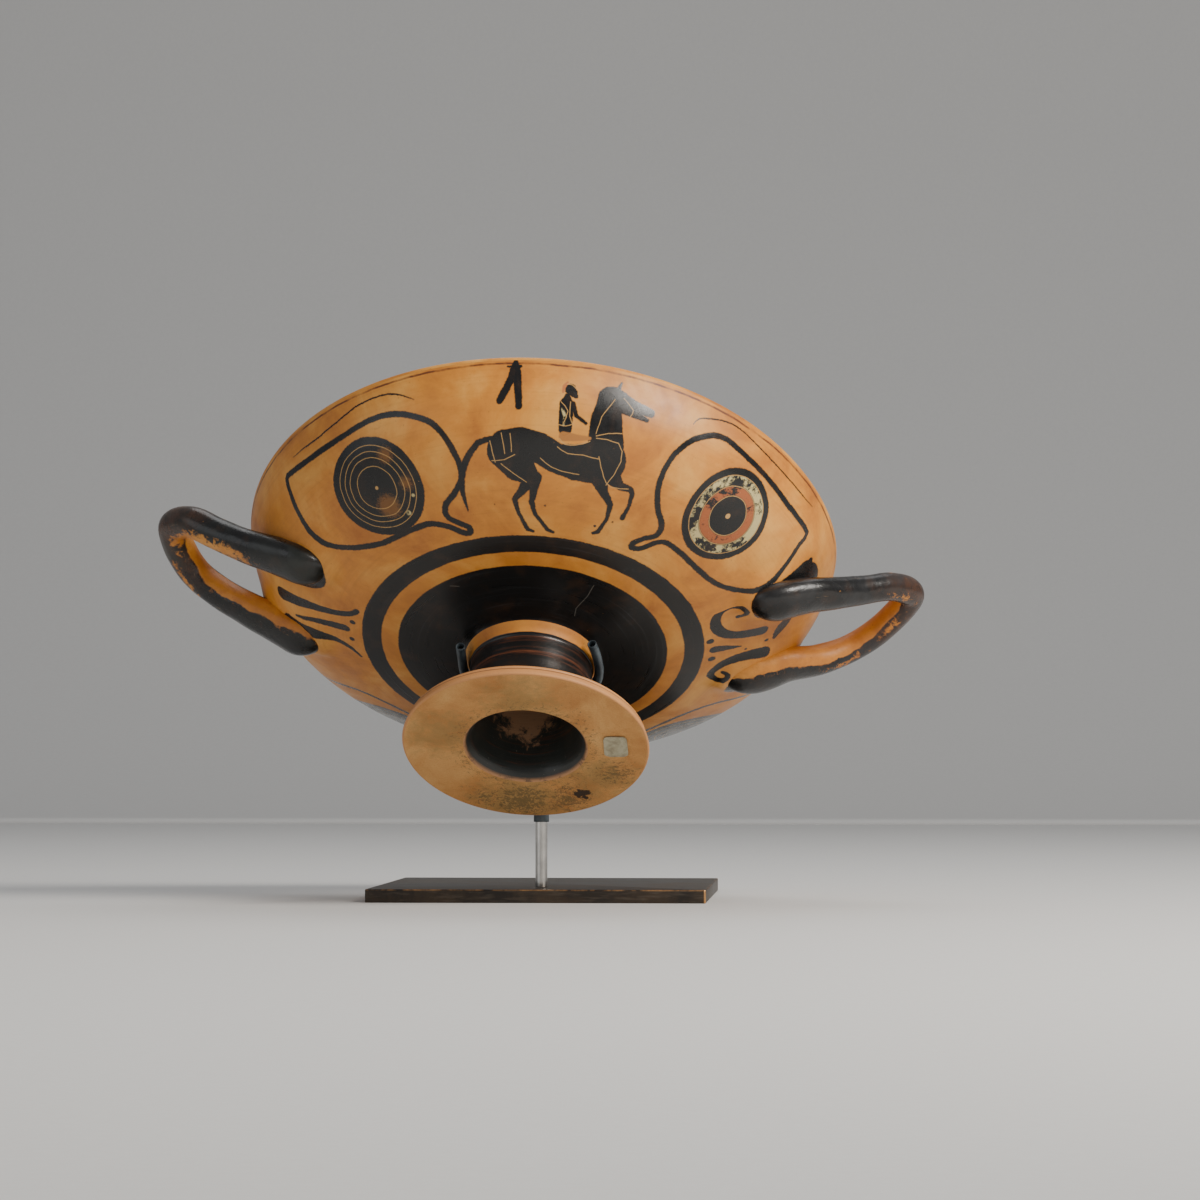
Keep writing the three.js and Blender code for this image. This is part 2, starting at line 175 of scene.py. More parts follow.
class Board:
    """One material's nodes."""

    def __init__(self, name: str) -> None:
        """Starts a material with a plain shader.

        Args:
            name: The material's name.
        """
        self.material = bpy.data.materials.new(name)
        self.material.use_nodes = True
        self.tree = self.material.node_tree
        self.shader = self.tree.nodes["Principled BSDF"]
        self._kept: dict[str, Flow] = {}

    def node(self, kind: str, settings: dict, inputs: dict, out: int | str = 0) -> Flow:
        """Adds any node.

        Args:
            kind: The node's type.
            settings: Its settings, set first; "stops" fills a colour ramp.
            inputs: Values or flows, by the socket's name or number.
            out: The output to read.

        Returns:
            The output.
        """
        made = self.tree.nodes.new(kind)
        for key, value in settings.items():
            if key == "stops":
                self._fill_ramp(made.color_ramp, value)
            else:
                setattr(made, key, value)
        for key, value in inputs.items():
            if isinstance(value, Flow):
                self.tree.links.new(value.socket, made.inputs[key])
            else:
                made.inputs[key].default_value = value
        return Flow(self, made.outputs[out])

    @staticmethod
    def _fill_ramp(ramp: bpy.types.ColorRamp, stops: Sequence[tuple[float, tuple]]) -> None:
        """Sets a ramp's stops.

        Args:
            ramp: The ramp.
            stops: Places and colours.
        """
        while len(ramp.elements) < len(stops):
            ramp.elements.new(1.0)
        for element, (place, colour) in zip(ramp.elements, stops):
            element.position = place
            element.color = (*colour, 1.0)

    def feed(self, socket: str, value: object) -> None:
        """Sets or links an input of the shader.

        Args:
            socket: The input's name.
            value: A flow, a number or a colour.
        """
        if isinstance(value, Flow):
            self.tree.links.new(value.socket, self.shader.inputs[socket])
        else:
            self.shader.inputs[socket].default_value = value

    def stand_place(self) -> Flow:
        """The point in the stand's frame, in metres."""
        if "stand" not in self._kept:
            self._kept["stand"] = self.node("ShaderNodeTexCoord", {}, {}, "Object")
        return self._kept["stand"]

    def cup_place(self) -> Flow:
        """The point in the cup's own frame, in millimetres.

        Returns:
            The point.
        """
        if "cup" not in self._kept:
            turn = CUP_PLACE.to_euler()
            self._kept["cup"] = self.node(
                "ShaderNodeMapping",
                {"vector_type": "TEXTURE"},
                {
                    "Vector": self.stand_place(),
                    "Location": CUP_PLACE.to_translation(),
                    "Rotation": turn,
                    "Scale": (MM, MM, MM),
                },
            )
        return self._kept["cup"]

    def map_place(self, name: str) -> Flow:
        """A point of one of the piece's own maps.

        Args:
            name: The map's name.

        Returns:
            The point.
        """
        if name not in self._kept:
            self._kept[name] = self.node("ShaderNodeUVMap", {"uv_map": name}, {})
        return self._kept[name]

    def part(self, vector: Flow, axis: str) -> Flow:
        """One coordinate of a vector.

        Args:
            vector: The vector.
            axis: X, Y or Z.

        Returns:
            The number.
        """
        return self.node("ShaderNodeSeparateXYZ", {}, {0: vector}, axis)

    def vector(self, x: object = 0.0, y: object = 0.0, z: object = 0.0) -> Flow:
        """A vector from its three numbers."""
        return self.node("ShaderNodeCombineXYZ", {}, {0: x, 1: y, 2: z})

    def along(self, operation: str, *values: object, out: str = "Vector") -> Flow:
        """Adds a Vector Math node.

        Args:
            operation: The node's operation.
            values: Its inputs in order.
            out: The output to read.

        Returns:
            The result.
        """
        return self.node(
            "ShaderNodeVectorMath", {"operation": operation}, dict(enumerate(values)), out
        )

    def reach(self, place: Flow) -> Flow:
        """Distance of a point from the Z axis."""
        flat = self.along("MULTIPLY", place, (1.0, 1.0, 0.0))
        return self.along("LENGTH", flat, out="Value")

    def noise(
        self, place: Flow, scale: float, detail: float = 3.0, rough: float = 0.55,
        twist: float = 0.0, shift: float = 0.0,
    ) -> Flow:
        """Cloudy noise from 0 to 1.

        Args:
            place: The point.
            scale: Clouds per unit.
            detail: Octaves.
            rough: Weight of the fine octaves.
            twist: Distortion.
            shift: Moves the pattern, so that two of them differ.

        Returns:
            The noise.
        """
        where = self.along("ADD", place, (shift, shift * 0.7, -shift)) if shift else place
        return self.node(
            "ShaderNodeTexNoise", {},
            {"Vector": where, "Scale": scale, "Detail": detail,
             "Roughness": rough, "Distortion": twist},
        )

    def blend(self, share: object, first: object, second: object, mode: str = "MIX") -> Flow:
        """Mixes two colours.

        Args:
            share: How much of the second.
            first: The first colour.
            second: The second colour.
            mode: The way they mix.

        Returns:
            The colour.
        """
        colours = [
            (*value, 1.0) if isinstance(value, tuple) and len(value) == 3 else value
            for value in (first, second)
        ]
        return self.node(
            "ShaderNodeMix", {"data_type": "RGBA", "blend_type": mode, "clamp_factor": True},
            {0: share, 6: colours[0], 7: colours[1]}, 2,
        )

    def relief(self, height: Flow, depth: float, strength: float = 1.0) -> None:
        """Raises the surface's shading by a height.

        Args:
            height: The height, from 0 to 1.
            depth: Its depth in metres.
            strength: Share of it that shows.
        """
        made = self.node(
            "ShaderNodeBump", {},
            {"Strength": strength, "Distance": depth, "Height": height},
        )
        self.feed("Normal", made)


# ---- painter's brush


def rounded(points: Sequence[Point], steps: int = 2, closed: bool = False) -> list[Point]:
    """A smooth run of points through the given ones.

    Args:
        points: The given points.
        steps: How many pieces each span becomes.
        closed: Whether the last point runs on into the first.

    Returns:
        The points of the smooth line.
    """
    count = len(points)
    spans = count if closed else count - 1
    made: list[Point] = []
    for i in range(spans):
        if closed:
            around = [points[(i + k) % count] for k in (-1, 0, 1, 2)]
        else:
            around = [points[min(max(i + k, 0), count - 1)] for k in (-1, 0, 1, 2)]
        before, start, end, after = (Vector(point) for point in around)
        for k in range(steps):
            t = k / steps
            point = 0.5 * (
                2 * start + (end - before) * t
                + (2 * before - 5 * start + 4 * end - after) * t * t
                + (3 * start - before - 3 * end + after) * t ** 3
            )
            made.append(tuple(point))
    if not closed:
        made.append(tuple(points[-1]))
    return made


class Brush:
    """Draws painted shapes on the plan of the outside, in centimetres.

    A shape is a distance: negative inside it, positive outside it.
    """

    def __init__(self, board: Board, place: Flow) -> None:
        """Takes up the brush.

        Args:
            board: The board to draw on.
            place: The point of the plan.
        """
        self.board = board
        self.place = place

    def touch(self, start: Point, end: Point, first: float, last: float) -> Flow:
        """One straight touch of the brush, with round ends.

        Args:
            start: Where it starts.
            end: Where it ends.
            first: Half its width at the start.
            last: Half its width at the end.

        Returns:
            The shape.
        """
        board = self.board
        run = Vector(end) - Vector(start)
        square = max(run.length_squared, 1e-6)
        way = (run.x / square, run.y / square, 0.0)
        lead = (start[0] * run.x + start[1] * run.y) / square
        share = board.along("DOT_PRODUCT", self.place, way, out="Value")
        share = share._math("SUBTRACT", lead, clamp=True)
        offset = board.node(
            "ShaderNodeVectorMath", {"operation": "SCALE"},
            {"Vector": (run.x, run.y, 0.0), "Scale": share},
        )
        near = board.along("ADD", offset, (*start, 0.0))
        gap = board.along("DISTANCE", self.place, near, out="Value")
        if abs(first - last) < 1e-6:
            return gap
        return share._math("MULTIPLY_ADD", first - last, gap)

    def line(self, points: Sequence[Point], width: float | Sequence[float]) -> Flow:
        """A brush line through points.

        Args:
            points: The points.
            width: The line's width, or its width at each point.

        Returns:
            The shape.
        """
        even = isinstance(width, (int, float))
        halves = [0.0] * len(points) if even else [w / 2 for w in width]
        whole = None
        for a, b, w, v in zip(points, points[1:], halves, halves[1:]):
            shape = self.touch(a, b, w, v)
            if not even:
                shape = shape - w
            whole = shape if whole is None else whole.least(shape)
        return whole - width / 2 if even else whole

    def spot(self, centre: Point, radius: float) -> Flow:
        """A round spot.

        Args:
            centre: Its centre.
            radius: Its radius.

        Returns:
            The shape.
        """
        return self.board.along("DISTANCE", self.place, (*centre, 0.0), out="Value") - radius

    def hoop(self, centre: Point, radius: float, width: float) -> Flow:
        """A compass-drawn ring.

        Args:
            centre: Its centre.
            radius: Radius of the ring's middle line.
            width: Width of the line.

        Returns:
            The shape.
        """
        return self.spot(centre, radius).size() - width / 2

    @staticmethod
    def joined(shapes: Sequence[Flow]) -> Flow:
        """Several shapes as one.

        Args:
            shapes: The shapes.

        Returns:
            The shape.
        """
        whole = shapes[0]
        for shape in shapes[1:]:
            whole = whole.least(shape)
        return whole


# ---- making of meshes


def shown(
    name: str, mesh: bmesh.types.BMesh, finishes: Sequence[Finish],
    place: Matrix | None = None,
) -> Piece:
    """Turns a bmesh into a piece that rides on the stand's one body.

    Args:
        name: The piece's name.
        mesh: Its shape, which is freed.
        finishes: Its materials in order.
        place: What carries the mesh into the stand's frame.

    Returns:
        The piece.
    """
    if place is not None:
        bmesh.ops.transform(mesh, matrix=place, verts=mesh.verts)
    data = bpy.data.meshes.new(name)
    mesh.to_mesh(data)
    mesh.free()
    for finish in finishes:
        data.materials.append(finish)
    data.shade_smooth()
    piece = bpy.data.objects.new(name, data)
    bpy.context.scene.collection.objects.link(piece)
    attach(piece, BODY)
    log.info("%s: %d faces", name, len(data.polygons))
    return piece


def arc_points(
    centre: Point, radius: float, start: float, end: float, steps: int
) -> list[Point]:
    """Points of an arc, angles in degrees.

    Args:
        centre: Its centre.
        radius: Its radius.
        start: First angle.
        end: Last angle.
        steps: How many spans.

    Returns:
        The points.
    """
    angles = [math.radians(start + (end - start) * i / steps) for i in range(steps + 1)]
    return [(centre[0] + radius * math.cos(a), centre[1] + radius * math.sin(a)) for a in angles]


def bezier(knots: Sequence[Point], steps: int) -> list[Point]:
    """Points of a Bezier curve of three or four knots.

    Args:
        knots: The knots.
        steps: How many spans.

    Returns:
        The points.
    """
    made = []
    for i in range(steps + 1):
        row = [Vector(knot) for knot in knots]
        while len(row) > 1:
            row = [a.lerp(b, i / steps) for a, b in zip(row, row[1:])]
        made.append(tuple(row[0]))
    return made


class Path:
    """A smooth line through points in space, walked by its length."""

    def __init__(self, knots: Sequence[Vector], fine: int = 24) -> None:
        """Draws the line.

        Args:
            knots: The points it passes through.
            fine: Points worked out for each span.
        """
        ends = [knots[0] * 2 - knots[1], *knots, knots[-1] * 2 - knots[-2]]
        self.points: list[Vector] = []
        for i in range(len(knots) - 1):
            self.points += self._span(ends[i : i + 4], fine)
        self.points.append(knots[-1].copy())
        lengths = [(b - a).length for a, b in zip(self.points, self.points[1:])]
        self.marks = np.concatenate([[0.0], np.cumsum(lengths)])
        self.length = float(self.marks[-1])

    @staticmethod
    def _span(knots: Sequence[Vector], fine: int) -> list[Vector]:
        """One span between the middle two of four knots, spaced by the root of their gaps.

        Args:
            knots: Four knots.
            fine: Points worked out.

        Returns:
            The span's points without its last.
        """
        gaps = [max((b - a).length ** 0.5, 1e-4) for a, b in zip(knots, knots[1:])]
        a, b, c, d = knots
        first = (b - a) / gaps[0] - (c - a) / (gaps[0] + gaps[1]) + (c - b) / gaps[1]
        last = (c - b) / gaps[1] - (d - b) / (gaps[1] + gaps[2]) + (d - c) / gaps[2]
        first, last = first * gaps[1], last * gaps[1]
        made = []
        for i in range(fine):
            t = i / fine
            made.append(
                b + first * t + (-3 * b + 3 * c - 2 * first - last) * t * t
                + (2 * b - 2 * c + first + last) * t ** 3
            )
        return made

    def at(self, share: float) -> Vector:
        """The point at a share of the line's length; it runs straight on past its ends.

        Args:
            share: From 0 to 1, or a little beyond.

        Returns:
            The point.
        """
        held = min(max(share, 0.0), 1.0)
        goal = held * self.length
        i = int(np.clip(np.searchsorted(self.marks, goal) - 1, 0, len(self.points) - 2))
        span = self.marks[i + 1] - self.marks[i]
        point = self.points[i].lerp(self.points[i + 1], (goal - self.marks[i]) / span)
        return point + self.way(held) * ((share - held) * self.length)

    def way(self, share: float) -> Vector:
        """The line's direction at a share of its length.

        Args:
            share: From 0 to 1.

        Returns:
            The direction, one long.
        """
        goal = min(max(share, 0.0), 1.0) * self.length
        low = np.clip(np.searchsorted(self.marks, goal) - 2, 0, len(self.points) - 4)
        return (self.points[int(low) + 3] - self.points[int(low)]).normalized()


def tube(
    mesh: bmesh.types.BMesh, sections: Sequence[Matrix], sides: int, marks: Sequence[float],
    caps: bool = True,
) -> list[bmesh.types.BMFace]:
    """Extrudes a ring through sections and lays its own map along it.

    Args:
        mesh: The bmesh to add to.
        sections: What carries the unit circle to each section.
        sides: How many sides the ring has.
        marks: How far along the map each section lies.
        caps: Whether the ends are closed.

    Returns:
        The new faces.
    """
    layer = mesh.loops.layers.uv.get(SWEEP_MAP) or mesh.loops.layers.uv.new(SWEEP_MAP)
    ring = bmesh.ops.create_circle(mesh, cap_ends=False, radius=1.0, segments=sides)["verts"]
    round_it = {v: (math.atan2(v.co.y, v.co.x) / math.tau) % 1.0 for v in ring}
    level = {v: marks[0] for v in ring}
    bmesh.ops.transform(mesh, matrix=sections[0], verts=ring)
    edges = list({edge for v in ring for edge in v.link_edges})
    first, faces = edges, []
    for before, section, mark in zip(sections, sections[1:], marks[1:]):
        made = bmesh.ops.extrude_edge_only(mesh, edges=edges)["geom"]
        ring = [item for item in made if isinstance(item, bmesh.types.BMVert)]
        edges = [item for item in made if isinstance(item, bmesh.types.BMEdge)]
        faces += [item for item in made if isinstance(item, bmesh.types.BMFace)]
        fresh = set(ring)
        for v in ring:
            source = next(e.other_vert(v) for e in v.link_edges if e.other_vert(v) not in fresh)
            round_it[v] = round_it[source]
            level[v] = mark
        bmesh.ops.transform(mesh, matrix=section @ before.inverted(), verts=ring)
    fresh = set(ring)
    edges = [e for e in edges if e.verts[0] in fresh and e.verts[1] in fresh]
    for face in faces:
        turns = [round_it[loop.vert] for loop in face.loops]
        wraps = max(turns) - min(turns) > 0.5
        for loop, turn in zip(face.loops, turns):
            loop[layer].uv = (level[loop.vert], turn + 1.0 if wraps and turn < 0.5 else turn)
    if caps:
        for rim in (first, edges):
            faces += bmesh.ops.contextual_create(mesh, geom=rim)["faces"]
    return faces


def section_on(path: Path, share: float, wide: float, thick: float) -> Matrix:
    """A level section of a path.

    Args:
        path: The path.
        share: How far along it.
        wide: Half-width, across the path and level.
        thick: Half-thickness, square to that.

    Returns:
        What carries the unit circle to it.
    """
    along = path.way(share)
    across = Vector((0, 0, 1)).cross(along).normalized()
    over = across.cross(along)
    turn = Matrix((across * wide, over * thick, along)).transposed().to_4x4()
    return Matrix.Translation(path.at(share)) @ turn


# ---- the cup


@dataclass
class Arm:
    """One arm of a handle, by its half-width from the loop's middle line."""

    root_reach: float
    spread: tuple[float, ...]


@dataclass
class Handle:
    """A horizontal loop that rises outwards from the wall."""

    name: str
    azimuth: float
    rise: float
    base_height: float
    thickness: float
    tip_reach: float
    tip_spread: float
    reach: tuple[float, ...]
    front: Arm
    back: Arm
    root_width: float = 22.0
    root_thickness: float = 15.4
    swell_from: float = 0.7
    rounded_part: float = 0.17
    root_sink: float = 0.6
    hug: tuple[float, ...] = (3.0, 1.6, 0.3, 0.0, 0.0)
    datum: float = 110.0
    bury: float = 2.5
    sides: int = 40
    steps: int = 150

    @property
    def front_side(self) -> int:
        """The side of the loop that the front arm is on."""
        return -1 if math.cos(math.radians(self.azimuth)) > 0 else 1

    def _arm(self, arm: Arm, side: int, wall: "Wall") -> list[Vector]:
        """Centreline points of one arm, from its root out.

        Args:
            arm: The arm.
            side: Its side of the loop.
            wall: The wall it grows from.

        Returns:
            The points.
        """
        root, *spreads = arm.spread
        level = wall.height(math.hypot(arm.root_reach, root)) + self.root_sink
        points = [Vector((arm.root_reach, side * root, level))]
        for reach, spread, hug in zip(self.reach, spreads, self.hug):
            level = self.base_height + self.rise * (reach - self.datum) + hug
            points.append(Vector((reach, side * spread, level)))
        return points

    def path(self, wall: "Wall") -> Path:
        """The handle's centreline, root to root, in the cup's frame.

        Args:
            wall: The wall it grows from.

        Returns:
            The centreline.
        """
        tip = self.base_height + self.rise * (self.tip_reach - self.datum)
        side = self.front_side
        knots = [
            *self._arm(self.front, side, wall),
            Vector((self.tip_reach, side * self.tip_spread, tip)),
            *reversed(self._arm(self.back, -side, wall)),
        ]
        turn = Matrix.Rotation(math.radians(self.azimuth), 3, "Z")
        return Path([turn @ knot for knot in knots])

    def halves(self, share: float) -> tuple[float, float]:
        """Half-width along the wall and half-thickness square to it.

        Args:
            share: How far along the handle.

        Returns:
            The two halves.
        """
        from_root = min(share, 1 - share) * 2
        t = min(max((from_root - 0.1) / (self.swell_from - 0.1), 0.0), 1.0)
        swell = 1 - t * t * (3 - 2 * t)
        short = 1 - min(from_root / self.rounded_part, 1.0)
        end = max(math.sqrt(1 - short * short), 0.06)
        wide = self.thickness + (self.root_width - self.thickness) * swell
        thick = self.thickness + (self.root_thickness - self.thickness) * swell
        return wide / 2 * end - 0.1, thick / 2 * end - 0.1

    def sections(self, wall: "Wall") -> tuple[list[Matrix], list[float]]:
        """Every section of the handle and how far along it lies.

        Args:
            wall: The wall it grows from.

        Returns:
            The sections' matrices and their shares.
        """
        path = self.path(wall)
        marks = [i / self.steps for i in range(self.steps + 1)]
        made = []
        for share in marks:
            wide, thick = self.halves(share)
            lump = 1 + 0.018 * math.sin(share * 37 + self.azimuth) + 0.012 * math.sin(share * 83)
            made.append(section_on(path, share, wide * lump, thick / lump))
        return made, marks

    def _bury(self, mesh: bmesh.types.BMesh, wall: "Wall") -> None:
        """Keeps the sunk ends of the handle short of the wall's inner face.

        Args:
            mesh: The handle's mesh, in the cup's frame.
            wall: The wall it grows from.
        """
        radii, heights = zip(*wall.curve())
        for vert in mesh.verts:
            face = float(np.interp(math.hypot(vert.co.x, vert.co.y), radii, heights))
            vert.co.z = min(vert.co.z, face + self.bury)

    def build(self, wall: "Wall", finish: Finish) -> Piece:
        """Makes the handle's piece.

        Args:
            wall: The wall it grows from.
            finish: Its material.

        Returns:
            The piece.
        """
        mesh = bmesh.new()
        sections, marks = self.sections(wall)
        tube(mesh, sections, self.sides, marks)
        self._bury(mesh, wall)
        bmesh.ops.recalc_face_normals(mesh, faces=mesh.faces)
        piece = shown(self.name, mesh, [finish], CUP_PLACE)
        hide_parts("kylix")
        return piece


@dataclass
class Wall:
    """The bowl's turned wall, from the band under it to the lip."""

    band: Point = (75.8, 57.2)
    rim: Point = (131.1, 111.0)
    band_slope: float = 17.3
    band_pull: float = 35.1
    rim_slope: float = 84.0
    rim_pull: float = 30.1
    floor_wall: float = 5.0
    rim_wall: float = 3.6
    steps: int = 44
    lip: float = 1.7
    pull_azimuth: float = 5.0
    pull_spread: float = 24.0
    pull_reach: float = 3.4
    pull_grow: float = 1.5

    def curve(self) -> list[Point]:
        """The outer face as (r, z), from the band to the lip.

        Returns:
            The points.
        """
        low, high = math.radians(self.band_slope), math.radians(self.rim_slope)
        (r0, z0), (r1, z1) = self.band, self.rim
        knots = [
            self.band,
            (r0 + self.band_pull * math.cos(low), z0 + self.band_pull * math.sin(low)),
            (r1 - self.rim_pull * math.cos(high), z1 - self.rim_pull * math.sin(high)),
            self.rim,
        ]
        return bezier(knots, self.steps)

    def height(self, radius: float) -> float:
        """Height of the outer face at a radius."""
        radii, heights = zip(*self.curve())
        return float(np.interp(radius, radii, heights))

    def outside(self) -> list[Point]:
        """The outer face up to where the lip rounds off."""
        return [p for p in self.curve() if p[1] < self.rim[1] - self.lip]

    def inside(self) -> list[Point]:
        """The inner face, from the lip down to where the floor starts.

        Returns:
            The points.
        """
        points = self.curve()
        made = []
        for i, point in enumerate(points):
            way = Vector(points[min(i + 1, self.steps)]) - Vector(points[max(i - 1, 0)])
            way.normalize()
            wall = self.floor_wall + (self.rim_wall - self.floor_wall) * i / self.steps
            made.append((point[0] - way.y * wall, point[1] + way.x * wall))
        return [p for p in reversed(made) if p[1] < self.rim[1] - self.lip]

    def over_lip(self) -> list[Point]:
        """The rounded lip, from the outer face to the inner one.

        Returns:
            The points.
        """
        outer, inner = self.outside()[-1], self.inside()[0]
        top = self.rim[1]
        middle = (outer[0] + inner[0]) / 2
        knots = [outer, (outer[0] + 0.05, top - 0.75), (outer[0] - 0.6, top - 0.12),
                 (middle, top), (inner[0] + 0.5, top - 0.2), (inner[0] + 0.05, top - 0.9), inner]
        return rounded(knots, 2)

    def pulled(self, spots: np.ndarray) -> np.ndarray:
        """Pulls the soft rim out beside the right handle.

        Args:
            spots: Points of the cup, one to a row.

        Returns:
            The moved points.
        """
        radius = np.maximum(np.hypot(spots[:, 0], spots[:, 1]), 1.0)
        climb = np.clip((spots[:, 2] - self.band[1]) / (self.rim[1] - self.band[1]), 0, 1)
        turn = np.degrees(np.arctan2(spots[:, 1], spots[:, 0])) - self.pull_azimuth
        turn = (turn + 180) % 360 - 180
        amount = self.pull_reach * np.exp(-((turn / self.pull_spread) ** 2))
        amount = amount * climb ** self.pull_grow * (radius > 60)
        moved = spots.copy()
        moved[:, :2] *= (1 + amount / radius)[:, None]
        return moved


class Zone(Enum):
    """The painted zones of the cup's turned body, in the order of its finishes."""

    HOLLOW = 0
    UNDERSIDE = 1
    STEM = 2
    RINGS = 3
    INSIDE = 4
    RIDER = 5
    LEFT_EYE = 6
    RIGHT_EYE = 7
    LEFT_ROOT = 8
    RIGHT_ROOT = 9
    BACK = 10


@dataclass
class CupBody:
    """The turned body: foot, stem, underside, wall, lip and inside."""

    wall: Wall
    handles: list[Handle]
    foot_radius: float = 53.95
    foot_edge: float = 5.6
    foot_taper: float = 1.2
    hollow_radius: float = 26.9
    hollow_top: tuple[float, float] = (18.5, 45.0)
    stem_radius: float = 26.8
    stem_flare: float = 21.0
    fillet: Triple = (41.7, 46.9, 29.5)
    disc: Point = (59.8, 53.5)
    disc_rise: Point = (67.3, 55.15)
    disc_reach: float = 61.0
    floor_height: float = 55.0
    turns: int = 240
    fillet_reach: float = 9.0
    fillet_rise: float = 3.4
    fillet_share: float = 0.24
    sectors: tuple[tuple[float, Zone], ...] = (
        (-155.0, Zone.LEFT_EYE), (-107.5, Zone.RIDER), (-62.5, Zone.RIGHT_EYE),
        (-15.5, Zone.RIGHT_ROOT), (27.0, Zone.BACK), (160.0, Zone.LEFT_ROOT),
    )

    def _hollow(self) -> list[Point]:
        """The hollow under the foot, from the axis down to its mouth.

        Returns:
            The points.
        """
        mouth, (top, height) = self.hollow_radius, self.hollow_top
        knots = [(0, height), (top - 6, height - 1), (top, height - 5), (top + 2.0, 22),
                 (mouth - 3.4, 6), (mouth - 0.8, 1.2), (mouth + 0.35, 0.0)]
        return rounded(knots, 5)

    def _edge(self) -> list[Point]:
        """The foot's plain edge, with a groove under its upper arris.

        Returns:
            The points.
        """
        edge, top = self.foot_radius, self.foot_edge
        lean = edge - self.foot_taper
        corner = arc_points((edge - 0.9, 0.9), 0.9, -90, 0, 8)
        groove = [(lean + 0.28, top - 1.9), (lean - 0.05, top - 1.55), (lean - 0.15, top - 1.35),
                  (lean + 0.05, top - 1.1), (lean - 0.1, top - 0.6), (lean - 0.45, top - 0.15),
                  (lean - 1.0, top)]
        return corner + groove

    def _flare(self) -> list[Point]:
        """The top of the foot running up into the stem, as far as the fillet.

        Returns:
            The points.
        """
        start = (self.foot_radius - self.foot_taper - 2.4, self.foot_edge + 0.3)
        curve = bezier([start, (self.stem_radius + 4, self.foot_edge + 4.4),
                        (self.stem_radius, self.stem_flare)], 26)
        low = self.fillet[0]
        straight = [(self.stem_radius + 0.06 * math.sin(i * 1.7), self.stem_flare
                     + (low - self.stem_flare) * i / 12) for i in range(1, 12)]
        return [self._edge()[-1], *curve, *straight, (self.stem_radius, low)]

    def _throat(self) -> list[Point]:
        """The plain fillet between the stem and the bowl.

        Returns:
            The points.
        """
        low, high, radius = self.fillet
        knots = [(self.stem_radius, low), (self.stem_radius + 0.5, low + 0.35),
                 (radius - 1.6, low + 2.4), (radius - 0.5, high - 1.0), (radius, high)]
        return rounded(knots, 3)

    def _disc(self) -> list[Point]:
        """The flat underside with its rings, out to the wall.

        Returns:
            The points.
        """
        _, high, radius = self.fillet
        knots = [(radius, high), (radius + 1.6, high + 0.75), (radius + 5, high + 1.6),
                 ((radius + self.disc[0]) / 2, (high + self.disc[1]) / 2 + 0.4), self.disc,
                 self.disc_rise, self.wall.band]
        return rounded(knots, 5)

    def _floor(self) -> list[Point]:
        """The inside's floor, from the wall to the axis.

        Returns:
            The points.
        """
        start = self.wall.inside()[-1]
        floor = self.floor_height
        return rounded([start, (52, floor + 3.0), (26, floor + 0.5), (0, floor)], 6)

    def _profile(self) -> list[tuple[Zone, list[Point]]]:
        """The whole profile, zone by zone, from axis to axis.

        Returns:
            Each stretch with its zone.
        """
        under = [self._hollow()[-1], (34, 0.12), (43, 0.05), self._edge()[0]]
        return [
            (Zone.HOLLOW, self._hollow()),
            (Zone.UNDERSIDE, rounded(under, 4)),
            (Zone.STEM, self._edge()),
            (Zone.STEM, self._flare()),
            (Zone.STEM, self._throat()),
            (Zone.RINGS, self._disc()),
            (Zone.RIDER, self.wall.outside()),
            (Zone.INSIDE, self.wall.over_lip()),
            (Zone.INSIDE, self.wall.inside()),
            (Zone.INSIDE, self._floor()),
        ]

    def _sector(self, azimuth: float) -> Zone:
        """The wall's zone at an azimuth on the plan, in degrees.

        Args:
            azimuth: The azimuth.

        Returns:
            The zone.
        """
        found = Zone.LEFT_ROOT
        for start, zone in self.sectors:
            if azimuth >= start:
                found = zone
        return found

    def _spun(self) -> bmesh.types.BMesh:
        """The body as a bmesh, with its zones and its plan.

        Returns:
            The bmesh.
        """
        mesh = bmesh.new()
        for zone, points in self._profile():
            part = bmesh.new()
            verts = [part.verts.new((r, 0.0, z)) for r, z in points]
            edges = [part.edges.new(pair) for pair in zip(verts, verts[1:])]
            bmesh.ops.spin(
                part, geom=verts + edges, cent=(0, 0, 0), axis=(0, 0, 1), angle=math.tau,
                steps=self.turns, use_merge=True, use_duplicate=False,
            )
            for face in part.faces:
                face.material_index = zone.value
            held = bpy.data.meshes.new(zone.name)
            part.to_mesh(held)
            part.free()
            mesh.from_mesh(held)
            bpy.data.meshes.remove(held)
        bmesh.ops.remove_doubles(mesh, verts=mesh.verts, dist=0.01)
        bmesh.ops.recalc_face_normals(mesh, faces=mesh.faces)
        self._lay_plan(mesh)
        return mesh

